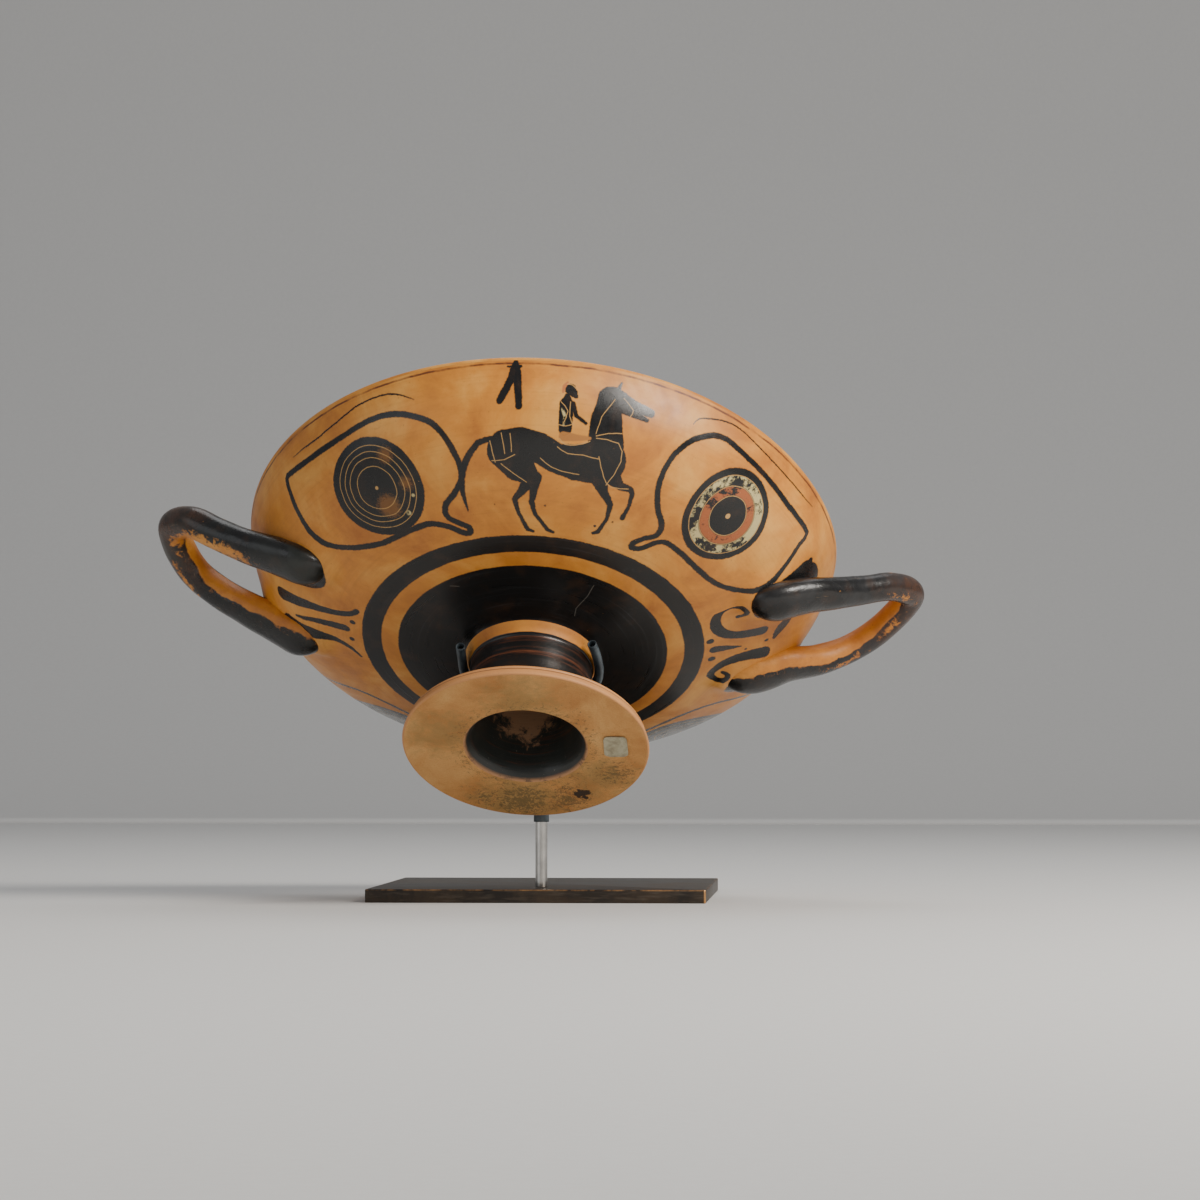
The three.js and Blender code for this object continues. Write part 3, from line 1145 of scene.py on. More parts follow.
    def _lay_plan(self, mesh: bmesh.types.BMesh) -> None:
        """Lays the plan of the outside as a map and parts the wall into its sectors.

        Args:
            mesh: The turned body.
        """
        outline = [(0.0, self.fillet[1]), *self._disc(), *self.wall.curve()]
        radii = np.array([point[0] for point in outline])
        runs = np.hypot(*np.diff(np.array(outline), axis=0).T)
        reach = np.concatenate([[0.0], np.cumsum(runs)])
        reach += self.disc_reach - float(np.interp(self.disc[0], radii, reach))
        layer = mesh.loops.layers.uv.new(PLAN_MAP)
        for face in mesh.faces:
            if face.material_index == Zone.RIDER.value:
                middle = face.calc_center_median()
                turn = math.degrees(math.atan2(middle.y, middle.x)) - PLAN_TURN
                turn = (turn + 180) % 360 - 180
                face.material_index = self._sector(turn).value
            for loop in face.loops:
                x, y, _ = loop.vert.co
                angle = math.atan2(y, x) - math.radians(PLAN_TURN)
                away = float(np.interp(math.hypot(x, y), radii, reach)) / 10 / PLAN_SPAN
                loop[layer].uv = (0.5 + away * math.cos(angle), 0.5 + away * math.sin(angle))

    def _raise_roots(self, spots: np.ndarray, out: np.ndarray) -> np.ndarray:
        """Raises the wall into a soft fillet round each handle's roots.

        Args:
            spots: Points of the outer face.
            out: The way outwards at each.

        Returns:
            The moved points.
        """
        gap = np.full(len(spots), 99.0)
        for handle in self.handles:
            sections, marks = handle.sections(self.wall)
            for section, share in zip(sections, marks):
                if self.fillet_share < share < 1 - self.fillet_share:
                    continue
                flat = np.array(section)
                away = spots - flat[:3, 3]
                wide, thick = np.linalg.norm(flat[:3, 0]), np.linalg.norm(flat[:3, 1])
                x = away @ flat[:3, 0] / wide ** 2
                y = away @ flat[:3, 1] / thick ** 2
                z = np.abs(away @ flat[:3, 2])
                near = (np.hypot(x, y) - 1) * min(wide, thick) + np.maximum(z - 1.5, 0)
                gap = np.minimum(gap, near)
        climb = np.clip(1 - gap / self.fillet_reach, 0, 1) ** 2
        return spots + out * (climb * self.fillet_rise)[:, None]

    def build(self, finishes: Sequence[Finish]) -> Piece:
        """Makes the body's piece.

        Args:
            finishes: One material to a zone.

        Returns:
            The piece.
        """
        mesh = self._spun()
        mesh.normal_update()
        mesh.verts.ensure_lookup_table()
        walls = {zone.value for zone in Zone if zone.value >= Zone.RIDER.value}
        outer = sorted({
            v.index for face in mesh.faces if face.material_index in walls for v in face.verts
        })
        spots = np.array([v.co for v in mesh.verts])
        normals = np.array([v.normal for v in mesh.verts])
        spots[outer] = self._raise_roots(spots[outer], normals[outer])
        spots = self.wall.pulled(spots)
        for v, spot in zip(mesh.verts, spots):
            v.co = spot
        piece = shown("cup_body", mesh, finishes, CUP_PLACE)
        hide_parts("kylix")
        return piece


# ---- the drawings


class Layer(Enum):
    """What a shape on the wall is painted in."""

    SLIP = "slip"
    CUT = "cut"
    CREAM = "cream"
    RED = "red"
    OCHRE = "ochre"
    BARE = "bare"


class Picture:
    """The shapes on one field of the wall, joined layer by layer as they come."""

    def __init__(self) -> None:
        """Starts with nothing painted."""
        self._layers: dict[Layer, Flow] = {}

    def add(self, layer: Layer, shape: Flow) -> None:
        """Joins a shape to its layer.

        Args:
            layer: The layer.
            shape: The shape.
        """
        held = self._layers.get(layer)
        self._layers[layer] = shape if held is None else held.least(shape)

    def layer(self, layer: Layer) -> Flow | None:
        """All that is painted in one layer, if anything is."""
        return self._layers.get(layer)


class Drawing:
    """Something painted on the wall."""

    def draw(self, brush: Brush, picture: Picture) -> None:
        """Adds its shapes to a picture.

        Args:
            brush: The brush.
            picture: The picture.
        """
        raise NotImplementedError


@dataclass(frozen=True)
class Iris:
    """The compass-drawn rings of an eye."""

    centre: Point
    radius: float
    cuts: tuple[float, ...]
    cream: tuple[float, float] | None = None
    red: tuple[float, float] | None = None
    pupil: float = 0.08


@dataclass(frozen=True)
class Eye(Drawing):
    """A large painted eye with its brow."""

    iris: Iris
    outline: tuple[Point, ...]
    width: float
    brow: tuple[Point, ...]
    brow_width: float
    worn: tuple[tuple[Point, float], ...] = ()
    flakes: tuple[tuple[Point, float], ...] = ()
    steps: int = 2

    def draw(self, brush: Brush, picture: Picture) -> None:
        """Adds its shapes to a picture.

        Args:
            brush: The brush.
            picture: The picture.
        """
        loop = rounded(self.outline, self.steps, closed=True)
        picture.add(Layer.SLIP, brush.line([*loop, loop[0]], self.width))
        if self.brow:
            brow = rounded(self.brow, self.steps)
            ends = [self.brow_width * min(1.0, 0.35 + i / 4, 0.35 + (len(brow) - 1 - i) / 4)
                    for i in range(len(brow))]
            picture.add(Layer.SLIP, brush.line(brow, ends))
        iris = self.iris
        picture.add(Layer.SLIP, brush.spot(iris.centre, iris.radius))
        for radius in iris.cuts:
            picture.add(Layer.CUT, brush.hoop(iris.centre, radius, 0.03))
        for layer, span in ((Layer.CREAM, iris.cream), (Layer.RED, iris.red)):
            if span:
                middle, width = sum(span) / 2, span[1] - span[0]
                picture.add(layer, brush.hoop(iris.centre, middle, width))
        picture.add(Layer.CUT, brush.spot(iris.centre, iris.pupil))
        for patch in self.worn:
            picture.add(Layer.BARE, brush.spot(*patch))
        for patch in self.flakes:
            picture.add(Layer.CREAM, brush.spot(*patch))


@dataclass(frozen=True)
class Touches(Drawing):
    """Free brush lines, each a run of points with a width at each."""

    lines: tuple[tuple[Triple, ...], ...] = ()
    dots: tuple[Triple, ...] = ()
    cuts: tuple[tuple[Point, ...], ...] = ()
    pale: tuple[tuple[Triple, ...], ...] = ()
    ochre: tuple[tuple[Triple, ...], ...] = ()
    red: tuple[tuple[Triple, ...], ...] = ()
    cut_width: float = 0.032
    steps: int = 1

    def _run(self, brush: Brush, knots: Sequence[Triple]) -> Flow:
        """One line from points that carry half their width as a third number.

        Args:
            brush: The brush.
            knots: The points.

        Returns:
            The shape.
        """
        run = rounded(knots, self.steps) if self.steps > 1 else list(knots)
        return brush.line([knot[:2] for knot in run], [2 * abs(knot[2]) for knot in run])

    def draw(self, brush: Brush, picture: Picture) -> None:
        """Adds its shapes to a picture.

        Args:
            brush: The brush.
            picture: The picture.
        """
        for knots in self.lines:
            picture.add(Layer.SLIP, self._run(brush, knots))
        for dot in self.dots:
            picture.add(Layer.SLIP, brush.spot(dot[:2], dot[2]))
        washes = ((Layer.CREAM, self.pale), (Layer.OCHRE, self.ochre), (Layer.RED, self.red))
        for layer, runs in washes:
            for knots in runs:
                picture.add(layer, self._run(brush, knots))
        for cut in self.cuts:
            picture.add(Layer.CUT, brush.line(rounded(cut, 2), self.cut_width))


LEFT_EYE = Eye(
    Iris((-7.0, -9.0), 2.28, (1.9, 1.62, 1.35, 0.97)),
    (
        (-12.2, -7.2), (-12.0, -7.6), (-11.0, -8.8), (-10.0, -9.9), (-9.0, -10.9), (-8.0, -11.8),
        (-7.0, -12.35), (-6.2, -12.55), (-5.5, -12.6), (-4.8, -12.5), (-4.2, -12.2),
        (-3.7, -11.7), (-3.3, -11.1), (-3.1, -10.5), (-3.15, -10.1), (-3.4, -9.5),
        (-3.75, -9.0), (-3.8, -8.6), (-3.6, -8.3), (-3.1, -8.1), (-2.72, -7.95),
        (-2.65, -7.72), (-2.85, -7.62), (-3.2, -7.72), (-3.6, -7.85), (-4.1, -7.88),
        (-4.6, -7.8), (-5.2, -7.4), (-5.9, -6.9), (-6.6, -6.3), (-7.4, -5.85), (-8.2, -5.5),
        (-9.0, -5.25), (-9.6, -5.3), (-10.3, -5.55), (-11.0, -6.1), (-11.6, -6.65),
    ),
    0.29,
    (
        (-5.85, -13.3), (-6.6, -13.35), (-7.4, -13.2), (-8.2, -12.8), (-9.1, -12.1),
        (-10.0, -11.0), (-10.7, -10.1), (-11.5, -9.2), (-12.2, -8.3),
    ),
    0.09,
    worn=(((-6.35, -8.3), 0.5), ((-6.75, -10.6), 0.3), ((-5.6, -9.6), 0.25)),
    flakes=(((-5.45, -8.2), 0.12), ((-5.25, -9.1), 0.08)),
)

RIGHT_EYE = Eye(
    Iris((8.85, -7.68), 2.2, (1.86, 1.38, 0.93), (1.42, 1.84), (0.96, 1.35), 0.12),
    (
        (4.45, -6.98), (4.5, -7.22), (5.0, -7.4), (5.45, -7.45), (5.72, -7.75), (5.75, -8.2),
        (5.6, -8.8), (5.6, -9.5), (5.75, -10.2), (6.05, -10.7), (6.5, -11.15), (7.2, -11.5),
        (7.9, -11.6), (8.7, -11.5), (9.4, -11.1), (10.0, -10.4), (10.6, -9.6), (11.2, -8.7),
        (11.8, -7.6), (12.3, -6.6), (12.8, -5.6), (13.2, -4.6), (12.6, -4.4), (11.9, -3.95),
        (11.0, -3.5), (10.2, -3.3), (9.5, -3.35), (8.9, -3.65), (8.2, -4.2), (7.5, -5.1),
        (7.0, -5.8), (6.5, -6.5), (6.0, -7.0), (5.6, -7.12), (5.2, -7.0), (4.8, -6.87),
    ),
    0.28,
    (
        (7.7, -12.25), (8.1, -12.4), (8.8, -12.25), (9.6, -11.9), (10.4, -11.3), (11.2, -10.2),
        (12.0, -9.0), (12.9, -7.5), (13.5, -6.4), (14.0, -5.5),
    ),
    0.075,
)


def back_eye(side: int) -> Eye:
    """A plainer eye for the back of the cup.

    Args:
        side: -1 for the left one, 1 for the right one.

    Returns:
        The eye.
    """
    half = (
        (12.0, 8.0), (11.2, 9.3), (10.2, 10.4), (9.1, 11.4), (8.0, 12.2), (6.8, 12.6),
        (5.6, 12.5), (4.5, 11.9), (3.7, 11.0), (3.4, 10.0), (3.7, 9.1), (3.8, 8.5),
        (3.3, 8.1), (2.9, 7.9), (3.3, 7.7), (4.3, 7.8), (5.2, 7.3), (6.2, 6.5), (7.4, 5.8),
        (8.5, 5.6), (9.6, 6.0), (10.8, 6.9),
    )
    brow = ((5.6, 13.5), (7.2, 13.4), (8.8, 12.6), (10.2, 11.2), (11.6, 9.3))
    return Eye(
        Iris((side * 7.0, 9.1), 2.25, (1.85, 1.35, 0.95)),
        tuple((side * x, y) for x, y in half), 0.22,
        tuple((side * x, y) for x, y in brow), 0.08,
    )


HORSE = Touches(
    lines=(
        ((-1.2, -11.95, 0.72), (-0.5, -12.1, 0.7), (0.3, -11.95, 0.68), (1.1, -11.5, 0.66),
         (2.0, -11.27, 0.8), (3.2, -11.25, 1.03)),
        ((-1.15, -11.75, 0.86), (-0.6, -11.15, 0.74), (0.0, -10.6, 0.42)),
        ((3.3, -11.9, 0.85), (3.4, -13.0, 0.75), (3.65, -13.95, 0.58)),
        ((3.85, -14.0, 0.5), (4.8, -13.5, 0.3), (5.6, -13.1, 0.2)),
        ((4.1, -13.6, 0.3), (5.35, -12.82, 0.1)),
        ((4.05, -14.2, 0.16), (4.35, -14.62, 0.05)),
        ((3.0, -10.5, 0.38), (3.2, -9.85, 0.21), (3.48, -9.25, 0.14), (3.35, -8.6, 0.09),
         (2.98, -8.0, 0.11)),
        ((2.95, -7.95, 0.13), (2.72, -7.88, 0.08)),
        ((3.55, -10.6, 0.42), (3.95, -10.1, 0.2), (4.4, -9.9, 0.14), (4.47, -9.7, 0.12),
         (4.3, -9.1, 0.09), (4.02, -8.55, 0.12)),
        ((-0.05, -10.5, 0.36), (-0.35, -10.05, 0.2), (-0.72, -9.55, 0.13), (-0.52, -8.9, 0.09),
         (-0.12, -8.1, 0.1), (0.12, -8.0, 0.07)),
        ((0.15, -10.6, 0.34), (0.12, -10.0, 0.18), (0.02, -9.5, 0.13), (0.18, -8.9, 0.09),
         (0.74, -8.1, 0.1), (0.98, -7.98, 0.07)),
    ),
    dots=((0.62, -9.3, 0.05), (2.8, -8.25, 0.06), (3.6, -8.4, 0.04), (-1.6, -9.25, 0.03)),
    cuts=(
        ((2.9, -12.5), (3.2, -13.2), (3.9, -13.9)),
        ((2.9, -12.4), (3.5, -12.45), (4.1, -12.4)),
        ((2.9, -12.3), (3.9, -12.0), (4.0, -11.2), (3.3, -10.2)),
        ((3.0, -11.5), (3.2, -10.6), (3.5, -10.1), (4.3, -9.95)),
        ((0.4, -11.5), (0.9, -11.1), (1.6, -10.85), (2.1, -10.75)),
        ((1.15, -12.0), (1.6, -11.7), (2.3, -11.6), (3.0, -11.4)),
        ((-1.9, -12.1), (-1.6, -11.2)),
        ((-1.4, -12.5), (-1.2, -11.6)),
        ((-1.0, -12.5), (-0.9, -11.7)),
        ((-1.75, -11.25), (-1.2, -11.35), (-0.75, -11.6)),
        ((-1.35, -11.15), (-0.75, -10.75), (-0.2, -10.4)),
        ((4.35, -13.9), (4.75, -13.35), (4.5, -13.05)),
    ),
)

TAIL = Touches(
    lines=((
        (-1.8, -12.2, 0.13), (-2.45, -11.95, 0.14), (-2.88, -11.25, 0.16), (-3.06, -10.6, 0.17),
        (-3.08, -10.1, 0.15), (-2.95, -9.4, 0.1), (-2.78, -8.8, 0.03),
    ),),
    steps=2,
)

RIDER = Touches(
    lines=(
        ((1.78, -14.45, 0.27), (1.9, -14.28, 0.2), (2.02, -14.12, 0.1)),
        ((1.62, -14.15, 0.14), (1.56, -13.75, 0.35), (1.52, -13.2, 0.32), (1.48, -12.75, 0.3)),
        ((1.85, -13.8, 0.14), (2.0, -13.3, 0.1), (2.45, -12.95, 0.07)),
    ),
    cuts=(
        ((1.3, -13.9), (1.62, -13.5), (1.4, -13.0)),
        ((1.75, -13.9), (1.7, -13.3), (1.85, -12.9)),
        ((1.2, -12.95), (1.5, -12.88), (1.8, -12.95)),
        ((1.6, -14.7), (1.85, -14.66), (2.02, -14.5)),
        ((1.25, -12.35), (1.5, -12.1), (2.0, -12.05), (2.6, -12.2)),
    ),
    pale=(
        ((1.36, -13.6, 0.06), (1.5, -13.25, 0.07), (1.4, -12.95, 0.07)),
    ),
    ochre=(
        ((1.4, -12.45, 0.2), (2.0, -12.35, 0.15), (2.6, -12.32, 0.07)),
    ),
    red=(
        ((1.62, -14.78, 0.05), (1.46, -14.6, 0.09), (1.42, -14.35, 0.06)),
    ),
)

MOTIF = Touches(
    lines=(
        ((-1.0, -15.72, 0.12), (-1.0, -15.35, 0.27), (-1.15, -14.9, 0.2), (-1.36, -14.35, 0.19),
         (-1.6, -13.85, 0.16)),
        ((-0.92, -15.2, 0.24), (-0.8, -14.6, 0.19), (-0.67, -13.7, 0.17)),
        ((-1.4, -15.45, 0.05), (-0.75, -15.5, 0.09)),
    ),
)

EYE_EDGE = Touches(
    lines=((
        (-4.8, -12.5, 0.145), (-4.2, -12.2, 0.145), (-3.7, -11.7, 0.145), (-3.3, -11.1, 0.145),
        (-3.1, -10.5, 0.145), (-3.15, -10.1, 0.145), (-3.4, -9.5, 0.145), (-3.75, -9.0, 0.145),
    ), (
        (-3.1, -8.1, 0.145), (-2.72, -7.95, 0.145), (-2.65, -7.72, 0.145), (-2.85, -7.62, 0.145),
    )),
    steps=2,
)

RIGHT_SCROLLS = Touches(
    lines=(
        ((9.3, -1.7, 0.13), (9.52, -1.8, 0.11), (9.62, -2.12, 0.12), (9.35, -2.44, 0.15),
         (8.92, -2.5, 0.18), (8.52, -2.35, 0.21), (8.3, -1.95, 0.24), (8.28, -1.35, 0.27),
         (8.6, -0.78, 0.27), (9.15, -0.4, 0.26), (9.8, -0.2, 0.28), (10.5, -0.05, 0.3)),
        ((8.25, 0.35, 0.24), (8.75, 0.42, 0.2), (9.5, 0.62, 0.05)),
        ((11.8, 0.0, 0.22), (11.5, 0.3, 0.3), (11.25, 0.65, 0.2), (11.15, 0.9, 0.1)),
        ((10.6, 1.55, 0.3), (10.0, 1.42, 0.29), (9.4, 1.42, 0.26), (8.75, 1.6, 0.23),
         (8.28, 2.0, 0.2), (8.12, 2.42, 0.18), (8.38, 2.74, 0.16), (8.75, 2.66, 0.14),
         (8.85, 2.38, 0.12), (8.66, 2.25, 0.1)),
    ),
    dots=((8.05, -0.35, 0.18), (8.15, 1.05, 0.18), (10.75, 0.85, 0.1), (9.75, 0.95, 0.07)),
    steps=2,
)

LEFT_SCROLLS = Touches(
    lines=(
        ((-11.9, -0.5, 0.38), (-10.6, -0.75, 0.3), (-9.3, -0.95, 0.2), (-8.35, -1.25, 0.16),
         (-7.98, -1.6, 0.15)),
        ((-11.0, 0.25, 0.06), (-10.3, 0.15, 0.14), (-9.3, -0.02, 0.22), (-8.6, -0.1, 0.24)),
        ((-11.4, 0.66, 0.24), (-10.4, 0.85, 0.28), (-9.2, 1.05, 0.19), (-8.35, 1.4, 0.12),
         (-7.95, 1.85, 0.07)),
    ),
    dots=((-8.2, -0.72, 0.14), (-8.3, 0.6, 0.14)),
    steps=2,
)

RIGHT_UPPER_ROOT = Touches(
    lines=(((10.9, -2.15, 1.02), (12.6, -1.9, 1.1)),
           ((11.5, -2.4, 0.85), (12.6, -2.45, 0.8), (13.15, -2.9, 0.22))),
)
RIGHT_LOWER_ROOT = Touches(lines=(((9.6, 3.75, 0.88), (11.0, 5.1, 0.95)),))
LEFT_UPPER_ROOT = Touches(lines=(((-10.45, -3.42, 1.2), (-12.4, -2.6, 0.95)),))
LEFT_LOWER_ROOT = Touches(lines=(((-11.1, 3.0, 0.6), (-12.2, 3.9, 0.7)),))

BACK_LEAF = Touches(
    lines=(
        ((0.0, 13.9, 0.05), (0.0, 12.6, 0.3), (0.0, 10.4, 0.08)),
        ((-0.25, 10.9, 0.06), (-0.9, 11.9, 0.22), (-1.1, 13.0, 0.06)),
        ((0.25, 10.9, 0.06), (0.9, 11.9, 0.22), (1.1, 13.0, 0.06)),
        ((-0.9, 10.1, 0.1), (0.0, 9.8, 0.12), (0.9, 10.1, 0.1)),
    ),
    dots=((-0.7, 9.3, 0.13), (0.0, 9.1, 0.13), (0.7, 9.3, 0.13)),
    steps=2,
)


# ---- the finishes


@dataclass(frozen=True)
class Clay:
    """The bare fired clay, warm orange and a little cloudy."""

    deep: Colour = (0.42, 0.135, 0.018)
    middle: Colour = (0.62, 0.235, 0.029)
    light: Colour = (0.75, 0.355, 0.070)
    stain: Colour = (0.25, 0.075, 0.013)

    def colour(self, board: Board, place: Flow, scale: float = 1.0) -> Flow:
        """The clay's colour at a point.

        Args:
            board: The board.
            place: The point, in centimetres or so.
            scale: Finer where larger.

        Returns:
            The colour.
        """
        cloud = board.noise(place, 0.32 * scale, 5.0, 0.62, 0.4, 3.0)
        tone = board.node(
            "ShaderNodeValToRGB",
            {"stops": [(0.30, self.deep), (0.50, self.middle), (0.70, self.light)]},
            {0: cloud},
        )
        specks = board.noise(place, 9.0 * scale, 2.0, 0.6, 0.0, 11.0).ramp(0.66, 0.74)
        return board.blend(specks * 0.45, tone, self.stain)


@dataclass(frozen=True)
class Glaze:
    """The glossy black slip, brown where it is thin."""

    black: Colour = (0.0075, 0.0072, 0.0070)
    brown: Colour = (0.040, 0.020, 0.011)

    def colour(self, board: Board, place: Flow, scale: float = 1.0) -> Flow:
        """The slip's colour at a point.

        Args:
            board: The board.
            place: The point.
            scale: Finer where larger.

        Returns:
            The colour.
        """
        thin = board.noise(place, 0.9 * scale, 4.0, 0.6, 0.3, 7.0).ramp(0.52, 0.78)
        return board.blend(thin * 0.8, self.black, self.brown)

    @staticmethod
    def gloss(board: Board, place: Flow, scale: float = 1.0) -> Flow:
        """The slip's roughness at a point."""
        dull = board.noise(place, 1.6 * scale, 4.0, 0.6, 0.0, 5.0).ramp(0.35, 0.75)
        return dull * 0.16 + 0.2


def plan_place(board: Board) -> Flow:
    """The point of the plan, in centimetres from the cup's middle.

    Args:
        board: The board.

    Returns:
        The point.
    """
    half = -PLAN_SPAN / 2
    return board.along(
        "MULTIPLY_ADD", board.map_place(PLAN_MAP), (PLAN_SPAN, PLAN_SPAN, 0.0), (half, half, 0.0)
    )


def unsteady(board: Board, place: Flow, amount: float = 0.045) -> Flow:
    """A place moved a little to and fro, as a hand moves the brush.

    Args:
        board: The board.
        place: The place.
        amount: How far it moves.

    Returns:
        The moved place.
    """
    drift = board.node(
        "ShaderNodeTexNoise", {}, {"Vector": place, "Scale": 1.3, "Detail": 2.0}, "Color"
    )
    off = board.along("MULTIPLY_ADD", drift, (2 * amount, 2 * amount, 0.0),
                      (-amount, -amount, 0.0))
    return board.along("ADD", place, off)


@dataclass(frozen=True)
class WallField:
    """One field of the painted wall."""

    name: str
    drawings: tuple[Drawing, ...]
    clay: Clay = Clay()
    glaze: Glaze = Glaze()
    incised: Colour = (0.60, 0.34, 0.11)
    cream: Colour = (0.60, 0.49, 0.22)
    red: Colour = (0.42, 0.115, 0.030)
    ochre: Colour = (0.40, 0.16, 0.035)
    rim_line: float = 15.66
    # Brown of the rim line and of the painted shade under the lip.
    rim_line_and_lip_shade: Colour = (0.13, 0.035, 0.010)
    band_edge: float = 7.78

    def material(self) -> Finish:
        """The field's material.

        Returns:
            The material.
        """
        board = Board(self.name)
        plan = plan_place(board)
        brush = Brush(board, unsteady(board, plan))
        picture = Picture()
        for drawing in self.drawings:
            drawing.draw(brush, picture)
        level = board.along("LENGTH", brush.place, out="Value")
        picture.add(Layer.SLIP, level - self.band_edge)
        frayed = (board.noise(plan, 9.0, 3.0, 0.7) - 0.5) * 0.1
        slip = (picture.layer(Layer.SLIP) + frayed).inside(0.05)
        pits = board.noise(plan, 5.5, 4.0, 0.75, 0.0, 2.0).ramp(0.735, 0.70)
        slip = slip * pits
        worn = picture.layer(Layer.BARE)
        if worn:
            slip = slip * (1.0 - (worn + frayed * 6.0).inside(0.3) * 0.3)
        clay = self.clay.colour(board, plan)
        clay = self._wheel(board, plan, clay)
        line = ((level - self.rim_line).size() - 0.05 + frayed * 0.4).inside(0.05)
        faded = board.noise(plan, 1.2, 3.0, 0.6, 0.0, 17.0).ramp(0.25, 0.55)
        # Painted shade: the clay darkens brown over the top 3 mm under the lip; the rim line
        # beside it is real brown paint.
        lip = level.ramp(16.0, 16.3) * 0.5
        clay = board.blend((line * faded).most(lip * faded), clay, self.rim_line_and_lip_shade)
        tone = board.blend(slip, clay, self.glaze.colour(board, plan))
        flaked = board.noise(plan, 0.85, 6.0, 0.72, 0.2, 9.0)
        red, cream, cut = (picture.layer(key) for key in (Layer.RED, Layer.CREAM, Layer.CUT))
        ochre = picture.layer(Layer.OCHRE)
        if ochre:
            tone = board.blend(ochre.inside(0.05), tone, self.ochre)
        if red:
            shown_red = red.inside(0.05) * flaked.ramp(0.60, 0.55)
            tone = board.blend(shown_red * 0.85, tone, self.red)
        if cream:
            shown_cream = cream.inside(0.05) * flaked.ramp(0.56, 0.50)
            tone = board.blend(shown_cream * 0.9, tone, self.cream)
        if cut:
            lines = (cut + frayed * 0.15).inside(0.03)
            tone = board.blend(lines * flaked.ramp(0.28, 0.42) * 0.9, tone, self.incised)
        board.feed("Base Color", tone)
        dull = board.noise(plan, 1.1, 4.0, 0.6).ramp(0.3, 0.7) * 0.14 + 0.36
        rough = slip * (self.glaze.gloss(board, plan) - dull) + dull
        board.feed("Roughness", rough)
        fine = board.noise(plan, 26.0, 3.0, 0.6)
        board.relief(fine, 0.00006, 0.6)
        return board.material

    def _wheel(self, board: Board, plan: Flow, clay: Flow) -> Flow:
        """Adds the faint level marks of the wheel and small dark stains to the clay.

        Args:
            board: The board.
            plan: The point of the plan.
            clay: The clay's colour.

        Returns:
            The marked clay's colour.
        """
        level = board.along("LENGTH", plan, out="Value")
        turned = board.along("MULTIPLY", board.along("NORMALIZE", plan), (1.6, 1.6, 0.0))
        lines = board.noise(board.along("ADD", turned, board.vector(z=level * 7.0)), 1.0, 3.0)
        clay = board.blend(lines.ramp(0.5, 0.75) * 0.16, clay, self.clay.stain)
        stains = board.noise(plan, 1.5, 5.0, 0.7, 0.8, 21.0).ramp(0.62, 0.72)
        clay = board.blend(stains * 0.35, clay, self.clay.deep)
        scuffs = board.noise(board.along("MULTIPLY", plan, (1.0, 3.0, 1.0)), 2.2, 5.0, 0.75,
                             1.2, 31.0).ramp(0.66, 0.72)
        return board.blend(scuffs * 0.35, clay, self.clay.light)


@dataclass(frozen=True)
class RingField:
    """The underside of the bowl: black disc, bare ring, black band, with a painted bluish sheen
    on the black.
    """

    clay: Clay = Clay()
    glaze: Glaze = Glaze()
    ring: tuple[float, float] = (6.10, 6.87)
    # Bluish grey of scuffs on the black, and of a painted sheen.
    scuff_and_sheen: Colour = (0.105, 0.115, 0.125)
    crack: Colour = (0.42, 0.38, 0.32)

    def material(self) -> Finish:
        """The underside's material.

        Returns:
            The material.
        """
        board = Board("ring_slip")
        plan = plan_place(board)
        moved = unsteady(board, plan, 0.035)
        level = board.along("LENGTH", moved, out="Value")
        middle, half = sum(self.ring) / 2, (self.ring[1] - self.ring[0]) / 2
        frayed = (board.noise(plan, 8.0, 3.0, 0.7) - 0.5) * 0.07
        bare = ((level - middle).size() - half + frayed).inside(0.05)
        pits = board.noise(plan, 4.2, 4.0, 0.75, 0.0, 4.0).ramp(0.725, 0.76)
        slip = (1.0 - bare) * (1.0 - pits)
        turned = board.along("MULTIPLY", board.along("NORMALIZE", plan), (1.2, 1.2, 0.0))
        wheel = board.noise(board.along("ADD", turned, board.vector(z=level * 9.0)), 1.0, 4.0)
        # Painted sheen: the black is lifted to bluish grey along the wheel marks and in broad
        # patches, partly real scuffing and partly a painted sheen.
        black = board.blend(wheel.ramp(0.58, 0.9) * 0.3, self.glaze.colour(board, plan),
                            self.scuff_and_sheen)
        rubbed_and_lit = board.noise(plan, 1.4, 5.0, 0.75, 1.4, 14.0).ramp(0.6, 0.74)
        black = board.blend(rubbed_and_lit * 0.14, black, self.scuff_and_sheen)
        scratch = Brush(board, moved)
        marks = scratch.joined([
            scratch.line([(2.8, -4.95), (2.5, -4.3), (2.0, -3.6), (1.95, -3.15)], 0.025),
            scratch.line([(-3.6, -4.5), (-3.2, -4.55)], 0.03),
        ]).inside(0.03)
        black = board.blend(marks * 0.35, black, self.crack)
        tone = board.blend(slip, self.clay.colour(board, plan), black)
        board.feed("Base Color", tone)
        board.feed("Roughness", 0.42 + slip * (wheel * 0.16 - 0.2))
        board.relief(wheel, 0.00007, 0.4)
        return board.material


